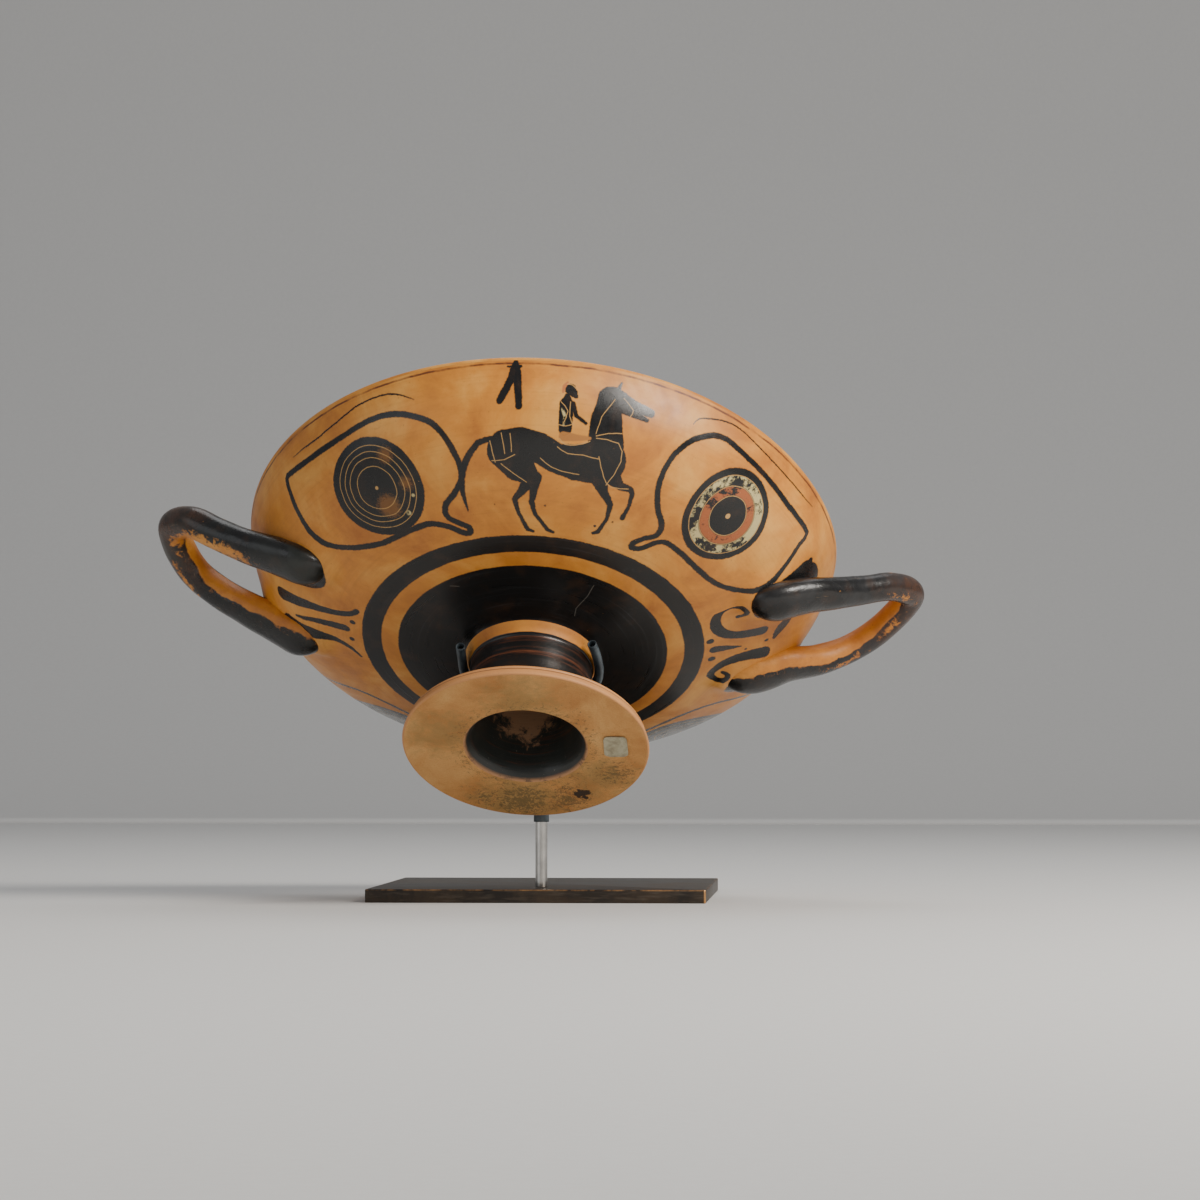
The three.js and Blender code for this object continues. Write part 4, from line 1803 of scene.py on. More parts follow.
@dataclass(frozen=True)
class StemField:
    """The foot's edge, the stem and the bare fillet above it."""

    clay: Clay = Clay()
    glaze: Glaze = Glaze()
    biscuit: Colour = (0.56, 0.27, 0.11)
    streak: Colour = (0.17, 0.05, 0.018)
    slip_from: float = 5.75
    slip_to: float = 42.2
    soot: Colour = (0.09, 0.075, 0.06)
    # Painted shade for the thin dark line round the foot's edge at its groove.
    groove: Colour = (0.16, 0.06, 0.022)
    grain: Colour = (0.33, 0.145, 0.055)
    low_belt: Point = (32.0, 2.2)
    high_belt: Point = (39.6, 1.4)
    groove_level: float = 3.5

    def material(self) -> Finish:
        """The stem's material.

        Returns:
            The material.
        """
        board = Board("stem_slip")
        place = board.cup_place()
        height = board.part(place, "Z")
        uneven = (board.noise(place, 0.12, 3.0) - 0.5) * 0.9
        wavy = height + uneven
        low = (self.slip_from - wavy).inside(0.25)
        high = (wavy - self.slip_to).inside(0.25)
        pits = board.noise(place, 0.42, 4.0, 0.75, 0.0, 4.0).ramp(0.71, 0.75)
        slip = low * high * (1.0 - pits)
        flat = board.along("MULTIPLY", place, (0.05, 0.05, 1.0))
        rings = board.noise(flat, 0.8, 4.0, 0.65, 0.0, 40.0)
        (low_at, low_half), (high_at, high_half) = self.low_belt, self.high_belt
        belts = ((height - low_at).size() - low_half).inside(2.0).most(
            ((height - high_at).size() - high_half).inside(1.6))
        black = self.glaze.colour(board, place, 0.1)
        black = board.blend(belts * rings.ramp(0.46, 0.66) * 0.8, black, self.streak)
        black = board.blend(rings.ramp(0.62, 0.8) * 0.5, black, self.soot)
        edge = height.ramp(8.0, 5.0)
        cloud = self.clay.colour(board, place, 0.1)
        bare = board.blend(edge * 0.75, cloud, self.biscuit)
        # Painted shade: a thin dark line darkens the foot's edge at its groove.
        groove = ((height - self.groove_level).size() - 0.3).inside(0.3)
        bare = board.blend(groove * edge * 0.75, bare, self.groove)
        grains = board.noise(place, 1.1, 4.0, 0.7, 0.0, 9.0).ramp(0.55, 0.75)
        bare = board.blend(grains * edge * 0.5, bare, self.grain)
        board.feed("Base Color", board.blend(slip, bare, black))
        board.feed("Roughness", 0.55 - slip * 0.27 + rings * 0.08)
        board.relief(board.noise(place, 0.9, 4.0, 0.6), 0.00012, 0.5)
        return board.material


@dataclass(frozen=True)
class UnderFoot:
    """The bare underside of the foot, matt and grainy with old deposits."""

    tan: Colour = (0.62, 0.305, 0.092)
    light: Colour = (0.73, 0.405, 0.145)
    deep: Colour = (0.46, 0.185, 0.045)
    deposit: Colour = (0.120, 0.085, 0.034)
    olive: Colour = (0.33, 0.215, 0.070)
    break_dark: Colour = (0.014, 0.011, 0.009)

    def material(self) -> Finish:
        """The underside's material.

        Returns:
            The material.
        """
        board = Board("foot_biscuit")
        place = board.cup_place()
        cloud = board.noise(place, 0.045, 5.0, 0.6, 0.5)
        tone = board.node(
            "ShaderNodeValToRGB",
            {"stops": [(0.3, self.deep), (0.5, self.tan), (0.68, self.light)]}, {0: cloud},
        )
        grit = board.noise(place, 1.3, 4.0, 0.75)
        tone = board.blend(grit.ramp(0.5, 0.72) * 0.45, tone, self.deep)
        tone = board.blend(grit.ramp(0.45, 0.3) * 0.3, tone, self.light)
        brush = Brush(board, place)
        reach = board.reach(place)
        patches = brush.joined([
            brush.spot((-4.0, 42.0), 13.0), brush.spot((16.0, 40.0), 10.0),
            brush.spot((38.0, 20.0), 8.0), brush.spot((-20.0, 40.0), 7.0),
            (reach - 29.5).size() - 0.5,
        ])
        washes = brush.joined([
            brush.spot((0.0, -34.0), 13.0), brush.spot((-36.0, -10.0), 12.0),
            brush.spot((-6.0, 40.0), 17.0), brush.spot((30.0, 22.0), 12.0),
        ])
        drift = board.noise(place, 0.16, 4.0, 0.7, 0.4, 12.0)
        wash = (washes * 0.02 + drift * -1.0 + 0.5).inside(0.3)
        tone = board.blend(wash * 0.6, tone, self.olive)
        crust = board.noise(place, 0.55, 5.0, 0.8, 0.6, 6.0)
        scale = (patches * 0.012 + crust * -1.0 + 0.56).inside(0.08)
        tone = board.blend(scale * 0.72, tone, self.deposit)
        chip = brush.joined([
            brush.line([(21.0, 36.5), (24.5, 35.0)], 4.2),
            brush.line([(24.0, 39.0), (21.5, 33.5)], 2.2),
        ])
        dark = (chip + (board.noise(place, 0.6, 3.0) - 0.5) * 4.0).inside(0.5)
        tone = board.blend(dark * 0.92, tone, self.break_dark)
        board.feed("Base Color", tone)
        board.feed("Roughness", 0.86 - scale * 0.1)
        board.relief(grit, 0.0008, 0.7)
        return board.material


@dataclass(frozen=True)
class HollowSlip:
    """The glazed hollow under the foot, rubbed and streaked."""

    glaze: Glaze = Glaze()
    soot: Colour = (0.030, 0.033, 0.029)
    worn: Colour = (0.42, 0.22, 0.11)
    streak: Colour = (0.16, 0.045, 0.018)
    scratch: Colour = (0.36, 0.34, 0.26)
    mouth: Colour = (0.5, 0.25, 0.11)
    worn_at: Triple = (-4.0, 21.0, 33.0)

    def material(self) -> Finish:
        """The hollow's material.

        Returns:
            The material.
        """
        board = Board("hollow_slip")
        place = board.cup_place()
        flat = board.along("MULTIPLY", place, (0.05, 0.05, 1.0))
        rings = board.noise(flat, 0.5, 4.0, 0.7)
        glaze = board.blend(0.75, self.glaze.colour(board, place, 0.1), self.soot)
        tone = board.blend(rings.ramp(0.55, 0.72) * 0.6, glaze, self.streak)
        patch = board.along("DISTANCE", place, self.worn_at, out="Value")
        crust = board.noise(place, 0.22, 5.0, 0.75, 0.5)
        bare = (patch * 0.022 + crust * -1.0 + 0.21).inside(0.12)
        tone = board.blend(bare * 0.75, tone, self.worn)
        scratches = board.noise(board.along("MULTIPLY", place, (1.0, 0.3, 0.5)), 0.9, 4.0, 0.7,
                                2.5, 5.0).ramp(0.66, 0.71)
        tone = board.blend(scratches * 0.5, tone, self.scratch)
        rim = board.part(place, "Z").ramp(1.6, 0.3)
        tone = board.blend(rim * crust.ramp(0.3, 0.5), tone, self.mouth)
        board.feed("Base Color", tone)
        board.feed("Roughness", 0.34 + bare * 0.4 + rim * 0.2)
        board.relief(rings, 0.0004, 0.5)
        return board.material


@dataclass(frozen=True)
class InnerSlip:
    """The black inside of the bowl, with a small bare tondo."""

    clay: Clay = Clay()
    glaze: Glaze = Glaze()
    tondo: float = 17.0
    circle: float = 13.0
    dot: float = 2.5
    lip_line: Point = (128.6, 109.0)
    outer_face: float = 129.7

    def material(self) -> Finish:
        """The inside's material.

        Returns:
            The material.
        """
        board = Board("inner_slip")
        place = board.cup_place()
        reach = board.reach(place) + (board.noise(place, 0.08, 2.0) - 0.5) * 0.8
        height = board.part(place, "Z")
        floor = (height - 80.0).inside(1.0)
        tondo = (reach - self.tondo).most(self.dot - reach)
        tondo = tondo.most(-((reach - self.circle).size() - 0.5)).inside(0.4) * floor
        line_reach, line_level = self.lip_line
        lip = ((height - line_level).size() - 0.45).inside(0.3)
        lip = lip * (reach - line_reach).inside(0.5)
        outer = (self.outer_face - reach).inside(0.8) * (100.0 - height).inside(1.0)
        bare = tondo.most(lip * 0.7).most(outer)
        pits = board.noise(place, 0.35, 4.0, 0.75, 0.0, 4.0).ramp(0.73, 0.77)
        bare = bare.most(pits)
        tone = board.blend(bare, self.glaze.colour(board, place, 0.1),
                           self.clay.colour(board, place, 0.1))
        board.feed("Base Color", tone)
        board.feed("Roughness", self.glaze.gloss(board, place, 0.1) + bare * 0.16)
        board.relief(board.noise(place, 0.4, 4.0), 0.0002, 0.4)
        return board.material


def cup_finishes() -> list[Finish]:
    """The cup's materials, one to a zone and in the zones' order.

    Returns:
        The materials.
    """
    fields = (
        WallField("rider_field", (HORSE, TAIL, RIDER, MOTIF, EYE_EDGE)),
        WallField("left_eye_field", (LEFT_EYE, TAIL, LEFT_UPPER_ROOT)),
        WallField("right_eye_field", (RIGHT_EYE, RIGHT_UPPER_ROOT)),
        WallField("left_root_field", (LEFT_SCROLLS, LEFT_UPPER_ROOT, LEFT_LOWER_ROOT)),
        WallField("right_root_field", (RIGHT_SCROLLS, RIGHT_UPPER_ROOT, RIGHT_LOWER_ROOT)),
        WallField("back_field", (back_eye(1), back_eye(-1), BACK_LEAF, LEFT_LOWER_ROOT,
                                 RIGHT_LOWER_ROOT)),
    )
    plain = (HollowSlip(), UnderFoot(), StemField(), RingField(), InnerSlip())
    return [finish.material() for finish in (*plain, *fields)]


@dataclass(frozen=True)
class HandleSlip:
    """A handle's slip, bare on the face inside the loop."""

    side: int
    clay: Clay = Clay()
    glaze: Glaze = Glaze()
    brown: Colour = (0.085, 0.034, 0.015)
    scratch: Colour = (0.40, 0.27, 0.13)

    def material(self) -> Finish:
        """The handle's material.

        Returns:
            The material.
        """
        board = Board("handle_slip_right" if self.side > 0 else "handle_slip_left")
        place = board.cup_place()
        sweep = board.map_place(SWEEP_MAP)
        along, around = board.part(sweep, "X"), board.part(sweep, "Y")
        if self.side > 0:
            turn = 0.5 - (around - 0.5).size()
            half = 0.145
        else:
            turn = (around - 0.5).size()
            half = 0.11
        uneven = (board.noise(place, 0.11, 4.0, 0.65) - 0.5) * 0.09
        face = (turn + uneven - half).most(0.13 - along + uneven * 0.5)
        bare = face.inside(0.012)
        flecks = board.noise(place, 0.26, 5.0, 0.78, 0.3, 4.0)
        worn = flecks.ramp(0.69, 0.73)
        near = (face - 0.03).inside(0.06)
        worn = worn.most(near * flecks.ramp(0.56, 0.66) * 0.85)
        patches = self._patches(board, along, turn, flecks)
        slip = (1.0 - bare) * (1.0 - worn) * (1.0 - patches)
        black = self.glaze.colour(board, place, 0.12)
        tip = ((along - 0.5).size() - 0.13 + uneven).inside(0.1)
        black = board.blend(tip * flecks.ramp(0.3, 0.6) * 0.9, black, self.brown)
        haze = board.noise(place, 0.05, 3.0, 0.6, 0.5, 13.0).ramp(0.45, 0.7)
        cast = (0.028, 0.032, 0.026) if self.side < 0 else (0.034, 0.034, 0.036)
        black = board.blend(haze * 0.6, black, cast)
        long_way = board.vector(along * 9.0, around * 34.0, 0.0)
        lines = board.noise(long_way, 1.0, 4.0, 0.7, 0.4, 3.0).ramp(0.68, 0.73)
        amount = 0.55 if self.side < 0 else 0.22
        black = board.blend(lines * amount, black, self.scratch)
        clay = self.clay.colour(board, place, 0.1)
        clay = board.blend(flecks.ramp(0.45, 0.6) * 0.35, clay, self.clay.deep)
        board.feed("Base Color", board.blend(slip, clay, black))
        board.feed("Roughness", 0.46 - slip * (0.2 - haze * 0.1))
        board.relief(board.noise(place, 0.35, 4.0, 0.6), 0.0005, 0.45)
        return board.material

    def _patches(self, board: Board, along: Flow, turn: Flow, flecks: Flow) -> Flow:
        """Larger places where the slip has worn through.

        Args:
            board: The board.
            along: How far along the handle.
            turn: How far round from the inner face.
            flecks: Broken noise.

        Returns:
            How bare each place is.
        """
        brush = Brush(board, board.vector(along, turn, 0.0))
        if self.side > 0:
            whole = brush.joined([brush.spot(spot, 0.02) for spot in (
                (0.40, 0.30), (0.56, 0.22), (0.70, 0.24))])
        else:
            whole = brush.line([(0.27, 0.27), (0.36, 0.22), (0.46, 0.18)], 0.13)
            whole = whole.least(brush.spot((0.62, 0.30), 0.03))
        return (whole - (flecks - 0.5) * 0.35).inside(0.03)


@dataclass(frozen=True)
class DarkBrass:
    """The plate's dark patina, rubbed bright along its edges, with a painted highlight on its
    front edges.
    """

    dark: Colour = (0.035, 0.030, 0.026)
    warm: Colour = (0.085, 0.060, 0.040)
    bright: Colour = (0.80, 0.42, 0.17)
    brushed: Colour = (0.16, 0.13, 0.10)
    half: float = 0.076
    top: float = 0.006

    def material(self) -> Finish:
        """The plate's material.

        Returns:
            The material.
        """
        board = Board("dark_brass")
        place = board.stand_place()
        cloud = board.noise(place, 28.0, 5.0, 0.65, 0.6)
        tone = board.blend(cloud.ramp(0.4, 0.7), self.dark, self.warm)
        streaks = board.noise(board.along("MULTIPLY", place, (0.12, 1.0, 1.0)), 900.0, 3.0)
        tone = board.blend(streaks.ramp(0.5, 0.75) * 0.35, tone, self.brushed)
        x, y, z = (board.part(place, axis) for axis in "XYZ")
        out = x.size().most(y.size())
        crest = (z - (self.top - 0.00075)).ramp(0.0, 0.0005)
        crest = crest * (out - self.half).ramp(-0.0011, -0.0004)
        upright = (x.size() - self.half).ramp(-0.0011, -0.0004) * (
            (y.size() - self.half).ramp(-0.0011, -0.0004))
        broken = board.noise(place, 120.0, 4.0, 0.7, 0.0, 3.0).ramp(0.42, 0.66)
        # Painted highlight: the front top edge is brighter and the front right upright edge is
        # bright, where the light falls; the rest of the top edges show real rubbed wear.
        front = (y + self.half - 0.002).ramp(0.001, -0.001)
        right = (x - self.half + 0.002).ramp(-0.001, 0.001)
        rubbed_and_lit = (crest * broken * (front * 0.55 + 0.25)).most(upright * front * right * 0.9)
        nicks = board.noise(place, 210.0, 4.0, 0.8, 0.0, 8.0).ramp(0.70, 0.74)
        rubbed_and_lit = rubbed_and_lit.most(nicks * 0.35)
        board.feed("Base Color", board.blend(rubbed_and_lit, tone, self.bright))
        board.feed("Metallic", 0.75 + rubbed_and_lit * 0.25)
        board.feed("Roughness", 0.36 + cloud * 0.16 - rubbed_and_lit * 0.14)
        board.relief(streaks, 0.00002, 0.5)
        return board.material


@dataclass(frozen=True)
class SatinSteel:
    """Brushed steel, a little clouded."""

    bright: Colour = (0.66, 0.64, 0.60)
    dull: Colour = (0.36, 0.35, 0.33)

    def material(self) -> Finish:
        """The steel's material.

        Returns:
            The material.
        """
        board = Board("satin_steel")
        place = board.stand_place()
        grain = board.noise(board.along("MULTIPLY", place, (1.0, 1.0, 0.06)), 2400.0, 3.0)
        cloud = board.noise(place, 130.0, 4.0, 0.6)
        tone = board.blend(cloud.ramp(0.35, 0.7) * 0.7, self.bright, self.dull)
        board.feed("Base Color", tone)
        board.feed("Metallic", 1.0)
        board.feed("Roughness", 0.24 + grain * 0.12)
        board.relief(grain, 0.00003, 0.4)
        return board.material


@dataclass(frozen=True)
class SoftRubber:
    """Dark blue-grey tubing with a soft shine."""

    dark: Colour = (0.030, 0.040, 0.048)
    pale: Colour = (0.085, 0.110, 0.125)

    def material(self) -> Finish:
        """The tubing's material.

        Returns:
            The material.
        """
        board = Board("soft_rubber")
        place = board.stand_place()
        cloud = board.noise(place, 160.0, 4.0, 0.6)
        board.feed("Base Color", board.blend(cloud.ramp(0.4, 0.75), self.dark, self.pale))
        board.feed("Roughness", 0.36 + cloud * 0.2)
        board.relief(board.noise(place, 900.0, 3.0), 0.00005, 0.5)
        return board.material


@dataclass(frozen=True)
class BlankPaper:
    """Old cream paper, stained and blank."""

    cream: Colour = (0.44, 0.40, 0.27)
    stain: Colour = (0.27, 0.235, 0.15)
    fleck: Colour = (0.55, 0.50, 0.36)

    def material(self) -> Finish:
        """The paper's material.

        Returns:
            The material.
        """
        board = Board("blank_paper")
        place = board.cup_place()
        cloud = board.noise(place, 0.22, 5.0, 0.7, 0.5)
        tone = board.blend(cloud.ramp(0.42, 0.66), self.cream, self.stain)
        flecks = board.noise(place, 1.2, 4.0, 0.7).ramp(0.6, 0.72)
        tone = board.blend(flecks * 0.5, tone, self.fleck)
        board.feed("Base Color", tone)
        board.feed("Roughness", 0.85)
        board.relief(cloud, 0.0001, 0.5)
        return board.material


# ---- the stand


@dataclass
class Plate:
    """The square plate that the stand stands on."""

    width: float = 151.96
    thickness: float = 6.0
    corner: float = 0.9
    arris: float = 0.45

    def build(self, finish: Finish) -> Piece:
        """Makes the plate's piece.

        Args:
            finish: Its material.

        Returns:
            The piece.
        """
        mesh = bmesh.new()
        bmesh.ops.create_cube(mesh, size=1.0)
        bmesh.ops.scale(mesh, vec=(self.width, self.width, self.thickness), verts=mesh.verts)
        bmesh.ops.translate(mesh, vec=(0, 0, self.thickness / 2), verts=mesh.verts)
        upright = [e for e in mesh.edges if abs(e.verts[0].co.z - e.verts[1].co.z) > 1]
        bmesh.ops.bevel(mesh, geom=upright, offset=self.corner, segments=4, profile=0.5,
                        affect="EDGES", material=-1)
        level = [e for e in mesh.edges if abs(e.verts[0].co.z - e.verts[1].co.z) < 0.01]
        bmesh.ops.bevel(mesh, geom=level, offset=self.arris, segments=3, profile=0.5,
                        affect="EDGES", material=-1)
        piece = shown("foot_plate", mesh, [finish], Matrix.Scale(MM, 4))
        piece.data.set_sharp_from_angle(angle=math.radians(40))
        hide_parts("stand_plate")
        return piece


@dataclass
class Post:
    """The upright rod and the soft sleeve on it."""

    radius: float = 2.7
    x: float = 1.5
    y: float = -58.2
    bottom: float = 6.36
    top: float = 82.55
    sleeve: tuple[float, float, float, float] = (35.7, 55.9, 3.12, 3.5)
    sides: int = 48

    def _turned(self, profile: Sequence[Point]) -> bmesh.types.BMesh:
        """A closed turned shape from a ring profile or one that ends on the axis.

        Args:
            profile: Its profile as (r, z).

        Returns:
            The shape.
        """
        mesh = bmesh.new()
        verts = [mesh.verts.new((r, 0.0, z)) for r, z in profile]
        pairs = list(zip(verts, verts[1:]))
        if profile[0][0] > 0:
            pairs.append((verts[-1], verts[0]))
        edges = [mesh.edges.new(pair) for pair in pairs]
        bmesh.ops.spin(mesh, geom=verts + edges, cent=(0, 0, 0), axis=(0, 0, 1),
                       angle=math.tau, steps=self.sides, use_merge=True, use_duplicate=False)
        bmesh.ops.remove_doubles(mesh, verts=mesh.verts, dist=0.001)
        bmesh.ops.recalc_face_normals(mesh, faces=mesh.faces)
        return mesh

    def build(
        self, steel: Finish, rubber: Finish
    ) -> list[Piece]:
        """Makes the rod and its sleeve.

        Args:
            steel: The rod's material.
            rubber: The sleeve's material.

        Returns:
            The pieces.
        """
        place = Matrix.Translation(Vector((self.x, self.y, 0)) * MM) @ Matrix.Scale(MM, 4)
        r, low, high = self.radius, self.bottom, self.top
        steps = [low + (high - low) * i / 24 for i in range(1, 24)]
        profile = [(0, low), (r - 0.4, low), (r - 0.1, low + 0.1), (r, low + 0.4)]
        profile += [(r, z) for z in steps] + [(r, high - 0.4), (r - 0.1, high - 0.1),
                                             (r - 0.4, high), (0, high)]
        rod = shown("post_rod", self._turned(profile), [steel], place)
        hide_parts("stand_post")
        low, high, inner, outer = self.sleeve
        lip = (outer - inner) / 2
        ring = [(inner, low + lip), (inner + lip, low), (outer, low + lip)]
        ring += [(outer - 0.04 * (i % 3), low + (high - low) * i / 10) for i in range(1, 10)]
        ring += [(outer, high - lip), (inner + lip, high), (inner, high - lip)]
        cover = shown("post_cover", self._turned(ring), [rubber], place)
        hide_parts("post_sleeve")
        return [rod, cover]


@dataclass
class Cradle:
    """The bent wire round the stem, with a soft sleeve on each prong."""

    wire: float = 1.15
    loop: float = 30.1
    level: float = 42.1
    left_prong: float = 14.0
    right_prong: float = 16.4
    right_curl: float = 2.2
    overhang: float = 2.4
    cover: tuple[float, float] = (38.0, 42.0)
    sleeve: tuple[float, float] = (1.6, 2.07)
    ferrule: tuple[float, float] = (82.98, 86.9)

    def path(self) -> Path:
        """The wire's middle line in the cup's frame, with the sleeves' overhangs.

        Returns:
            The middle line.
        """
        r, left = self.loop, -self.left_prong - self.overhang
        right = -self.right_prong - self.overhang
        knots = [(-r, left), (-r, left * 0.5), *arc_points((0, 0), r, 180, 0, 12)]
        knots += [(r - self.right_curl * s * s, right * s) for s in (0.4, 0.7, 1.0)]
        return Path([Vector((*knot, self.level)) for knot in knots])

    @staticmethod
    def _rings(path: Path, low: float, high: float, radii: Sequence[tuple[float, float]]
               ) -> list[Matrix]:
        """Round sections between two shares of a path.

        Args:
            path: The path.
            low: First share.
            high: Last share.
            radii: Pairs of a share of the run and a radius.

        Returns:
            The sections.
        """
        return [section_on(path, low + (high - low) * place, radius, radius)
                for place, radius in radii]

    def _wire(self, steel: Finish, post: Post) -> Piece:
        """Makes the wire and its ferrule.

        Args:
            steel: Its material.
            post: The post that carries it.

        Returns:
            The piece.
        """
        path = self.path()
        cut = self.overhang / path.length
        run = [(i / 72, self.wire) for i in range(73)]
        run = [(0, 0.7), (0.0015, 1.05)] + run[1:-1] + [(0.9985, 1.05), (1, 0.7)]
        mesh = bmesh.new()
        rings = self._rings(path, cut, 1 - cut, run)
        tube(mesh, rings, 16, [place for place, _ in run])
        bmesh.ops.transform(mesh, matrix=CUP_PLACE, verts=mesh.verts)
        old = set(mesh.verts)
        low, high = self.ferrule
        bmesh.ops.create_cone(mesh, cap_ends=True, segments=32, radius1=post.radius - 0.1,
                              radius2=post.radius - 0.1, depth=high - low)
        fresh = [v for v in mesh.verts if v not in old]
        place = Matrix.Scale(MM, 4) @ Matrix.Translation((post.x, post.y, (low + high) / 2))
        bmesh.ops.transform(mesh, matrix=place, verts=fresh)
        bmesh.ops.recalc_face_normals(mesh, faces=mesh.faces)
        wire = shown("cradle_wire", mesh, [steel])
        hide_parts("stand_cradle")
        return wire

    def _sleeve(self, side: int, rubber: Finish) -> Piece:
        """Makes one open-ended sleeve.

        Args:
            side: -1 for the left one, 1 for the right one.
            rubber: Its material.

        Returns:
            The piece.
        """
        path = self.path()
        cover = self.cover[0 if side < 0 else 1] / path.length
        low, high = (0.0, cover) if side < 0 else (1 - cover, 1.0)
        inner, outer = self.sleeve
        middle = (inner + outer) / 2
        steps = 26
        skin = [(i / steps, outer - 0.05 * (i % 5 == 2)) for i in range(1, steps)]
        bore = [(i / steps, inner) for i in range(steps - 1, 0, -1)]
        run = [(0, middle), (0.004, outer), *skin, (0.996, outer), (1, middle),
               (0.996, inner), *bore, (0.004, inner), (0, middle)]
        mesh = bmesh.new()
        marks = [i / (len(run) - 1) for i in range(len(run))]
        tube(mesh, self._rings(path, low, high, run), 24, marks, caps=False)
        bmesh.ops.remove_doubles(mesh, verts=mesh.verts, dist=0.001)
        bmesh.ops.recalc_face_normals(mesh, faces=mesh.faces)
        word = "left" if side < 0 else "right"
        piece = shown(f"claw_cover_{word}", mesh, [rubber], CUP_PLACE)
        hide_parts(f"claw_sleeve_{word}")
        return piece

    def build(
        self, steel: Finish, rubber: Finish, post: Post
    ) -> list[Piece]:
        """Makes the wire and both sleeves.

        Args:
            steel: The wire's material.
            rubber: The sleeves' material.
            post: The post that carries the wire.

        Returns:
            The pieces.
        """
        return [self._wire(steel, post), self._sleeve(-1, rubber), self._sleeve(1, rubber)]


@dataclass
class Sticker:
    """The small blank paper sticker under the foot."""

    width: float = 10.6
    depth: float = 15.2
    corner: float = 2.6
    thickness: float = 0.26
    azimuth: float = -1.4
    reach: float = 39.4
    below: float = 0.63

    def build(self, paper: Finish) -> Piece:
        """Makes the sticker's piece.

        Args:
            paper: Its material.

        Returns:
            The piece.
        """
        mesh = bmesh.new()
        bmesh.ops.create_cube(mesh, size=1.0)
        bmesh.ops.scale(mesh, vec=(self.width, self.depth, self.thickness), verts=mesh.verts)
        upright = [e for e in mesh.edges if abs(e.verts[0].co.z - e.verts[1].co.z) > 0.1]
        bmesh.ops.bevel(mesh, geom=upright, offset=self.corner, segments=7, profile=0.5,
                        affect="EDGES", material=-1)
        for v in mesh.verts:
            angle = math.atan2(v.co.y, v.co.x)
            ragged = 1 - 0.012 * (1 + math.sin(angle * 7)) - 0.01 * (1 + math.sin(angle * 13))
            v.co.x *= ragged
            v.co.y *= ragged
        angle = math.radians(self.azimuth)
        spot = (self.reach * math.cos(angle), self.reach * math.sin(angle),
                self.thickness / 2 - self.below)
        bmesh.ops.translate(mesh, vec=spot, verts=mesh.verts)
        piece = shown("blank_sticker", mesh, [paper], CUP_PLACE)
        piece.data.set_sharp_from_angle(angle=math.radians(40))
        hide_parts("foot_sticker")
        return piece


# ---- the studio


@dataclass
class Lamp:
    """One soft light."""

    name: str
    place: Triple
    aim: Triple
    width: float
    height: float
    watts: float
    colour: Colour = (1.0, 1.0, 1.0)

    def build(self) -> Piece:
        """Hangs the light.

        Returns:
            The lamp.
        """
        light = bpy.data.lights.new(self.name, "AREA")
        light.shape = "RECTANGLE"
        light.size, light.size_y = self.width, self.height
        light.energy, light.color = self.watts, self.colour
        lamp = bpy.data.objects.new(self.name, light)
        bpy.context.scene.collection.objects.link(lamp)
        way = Vector(self.aim) - Vector(self.place)
        lamp.matrix_world = (
            Matrix.Translation(self.place) @ way.to_track_quat("-Z", "Y").to_matrix().to_4x4()
        )
        return lamp


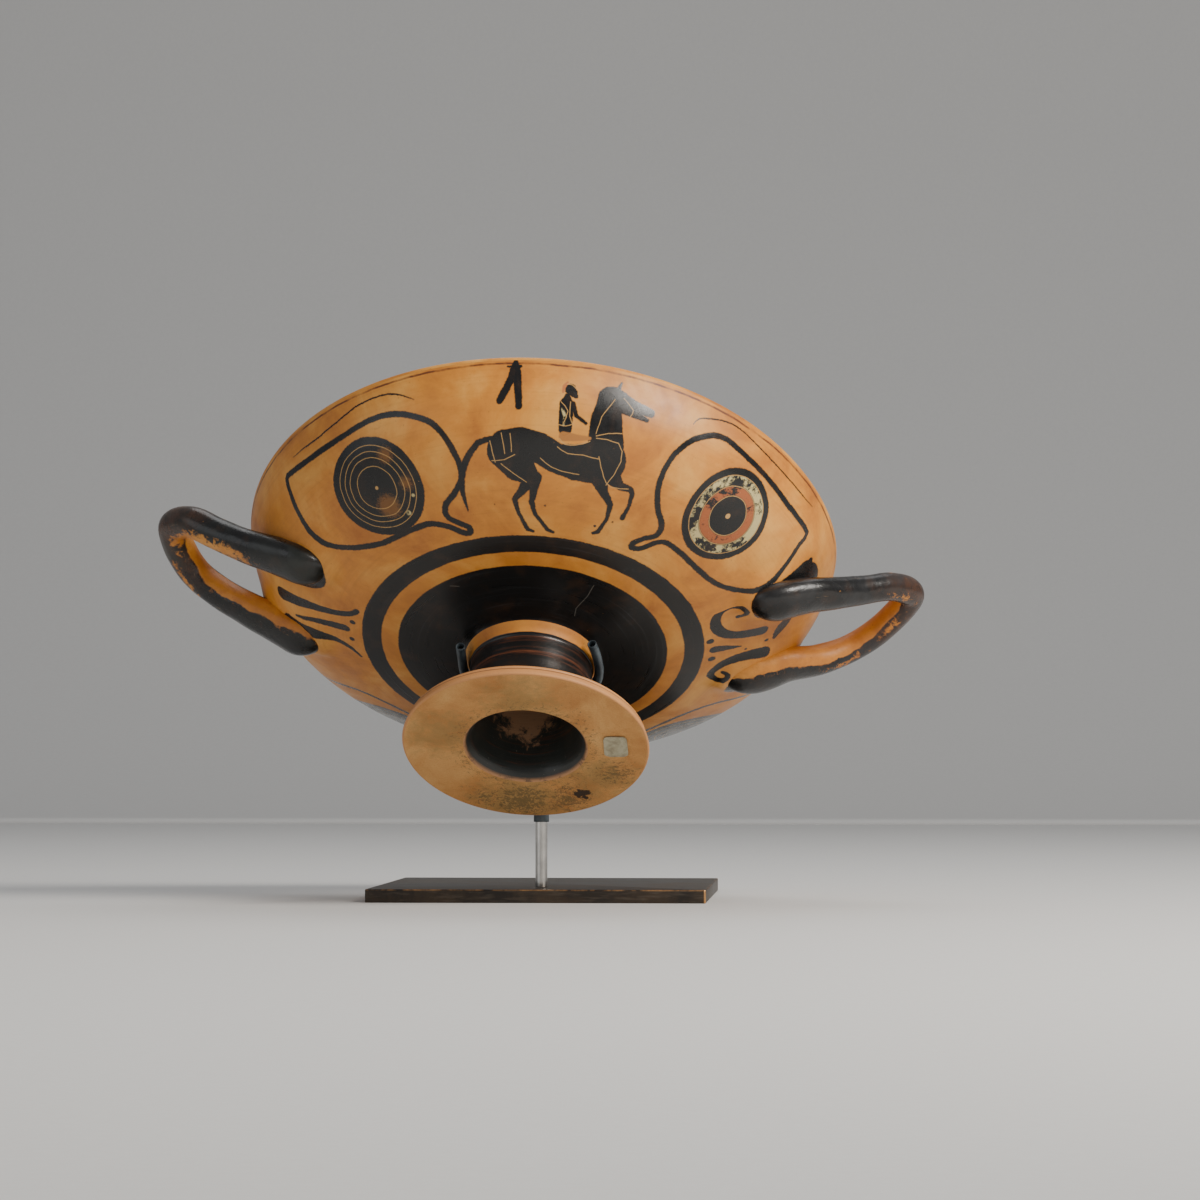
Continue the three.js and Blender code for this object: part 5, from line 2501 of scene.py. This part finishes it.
@dataclass
class Studio:
    """Pale sweep of floor and backdrop, soft lights and the camera."""

    eye: Triple = (0.1409, -1.7605, 0.0700)
    heading: float = 3.8
    climb: float = 2.19
    lens: float = 114.0
    lamps: list[Lamp] = field(default_factory=lambda: [
        Lamp("key", (1.05, -0.85, 0.95), (0.02, -0.06, 0.14), 0.6, 0.6, 30.0,
             (1.0, 0.95, 0.88)),
        Lamp("fill", (-1.5, -1.3, 0.5), (0.0, -0.05, 0.12), 1.2, 1.2, 4.0, (0.93, 0.97, 1.0)),
        Lamp("top", (0.1, 0.5, 1.5), (0.0, 0.0, 0.15), 1.1, 0.8, 6.0),
    ])

    def build(self) -> None:
        """Sets the whole studio up."""
        self._sweep()
        self._air()
        for lamp in self.lamps:
            lamp.build()
        self._camera()

    def _sweep(self) -> None:
        """Makes the floor, which curves up into a backdrop."""
        board = Board("pale_sweep")
        grain = board.noise(board.stand_place(), 260.0, 2.0)
        tone = board.blend(grain, (0.66, 0.655, 0.64), (0.70, 0.695, 0.68))
        board.feed("Base Color", tone)
        board.feed("Roughness", 0.85)
        mesh = bmesh.new()
        line = [(-6.0, 0.0), (1.6, 0.0), *arc_points((1.6, 0.9), 0.9, -90, 0, 16), (2.5, 4.0)]
        verts = [mesh.verts.new((-5.0, y, z)) for y, z in line]
        edges = [mesh.edges.new(pair) for pair in zip(verts, verts[1:])]
        made = bmesh.ops.extrude_edge_only(mesh, edges=edges)["geom"]
        fresh = [item for item in made if isinstance(item, bmesh.types.BMVert)]
        bmesh.ops.translate(mesh, vec=(10.0, 0, 0), verts=fresh)
        bmesh.ops.recalc_face_normals(mesh, faces=mesh.faces)
        data = bpy.data.meshes.new("studio_floor")
        mesh.to_mesh(data)
        mesh.free()
        data.materials.append(board.material)
        data.shade_smooth()
        floor = bpy.data.objects.new("studio_floor", data)
        bpy.context.scene.collection.objects.link(floor)

    @staticmethod
    def _air() -> None:
        """Sets the soft light that comes from all round."""
        world = bpy.data.worlds.new("studio_air")
        world.use_nodes = True
        back = world.node_tree.nodes["Background"]
        back.inputs["Color"].default_value = (0.93, 0.95, 1.0, 1.0)
        back.inputs["Strength"].default_value = 0.3
        bpy.context.scene.world = world

    def _camera(self) -> None:
        """Sets the camera."""
        turn, climb = math.radians(self.heading), math.radians(self.climb)
        forward = Vector((-math.sin(turn) * math.cos(climb), math.cos(turn) * math.cos(climb),
                          math.sin(climb)))
        right = Vector((math.cos(turn), math.sin(turn), 0.0))
        up = right.cross(forward)
        data = bpy.data.cameras.new("studio_camera")
        data.lens, data.sensor_width, data.sensor_height = self.lens, 36.0, 36.0
        data.clip_start, data.clip_end = 0.05, 30.0
        camera = bpy.data.objects.new("studio_camera", data)
        turned = Matrix((right, up, -forward)).transposed().to_4x4()
        camera.matrix_world = Matrix.Translation(self.eye) @ turned
        bpy.context.scene.collection.objects.link(camera)
        bpy.context.scene.camera = camera


# ---- the part


def main() -> None:
    """Builds the cup, its stand and the studio."""
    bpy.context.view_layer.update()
    Studio().build()
    wall = Wall()
    handles = [
        Handle("handle_right", 8.0, 0.54, 66.8, 13.0, 168.3, 4.5, (103, 116, 130, 145, 158),
               Arm(92.0, (31.2, 32.4, 31.2, 27.0, 21.6, 16.6)),
               Arm(87.0, (23.4, 21.4, 20.4, 23.4, 22.6, 14.6))),
        Handle("handle_left", 187.0, 0.6, 68.0, 14.4, 164.6, 5.0, (103, 116, 130, 144, 156),
               Arm(92.0, (29.4, 29.4, 26.8, 22.8, 19.8, 17.2)),
               Arm(94.5, (28.6, 24.8, 23.6, 23.2, 22.6, 17.4))),
    ]
    CupBody(wall, handles).build(cup_finishes())
    for handle, side in zip(handles, (1, -1)):
        handle.build(wall, HandleSlip(side).material())
    steel, rubber = SatinSteel().material(), SoftRubber().material()
    Plate().build(DarkBrass().material())
    post = Post()
    post.build(steel, rubber)
    Cradle().build(steel, rubber, post)
    Sticker().build(BlankPaper().material())


if __name__ == "__main__":
    main()
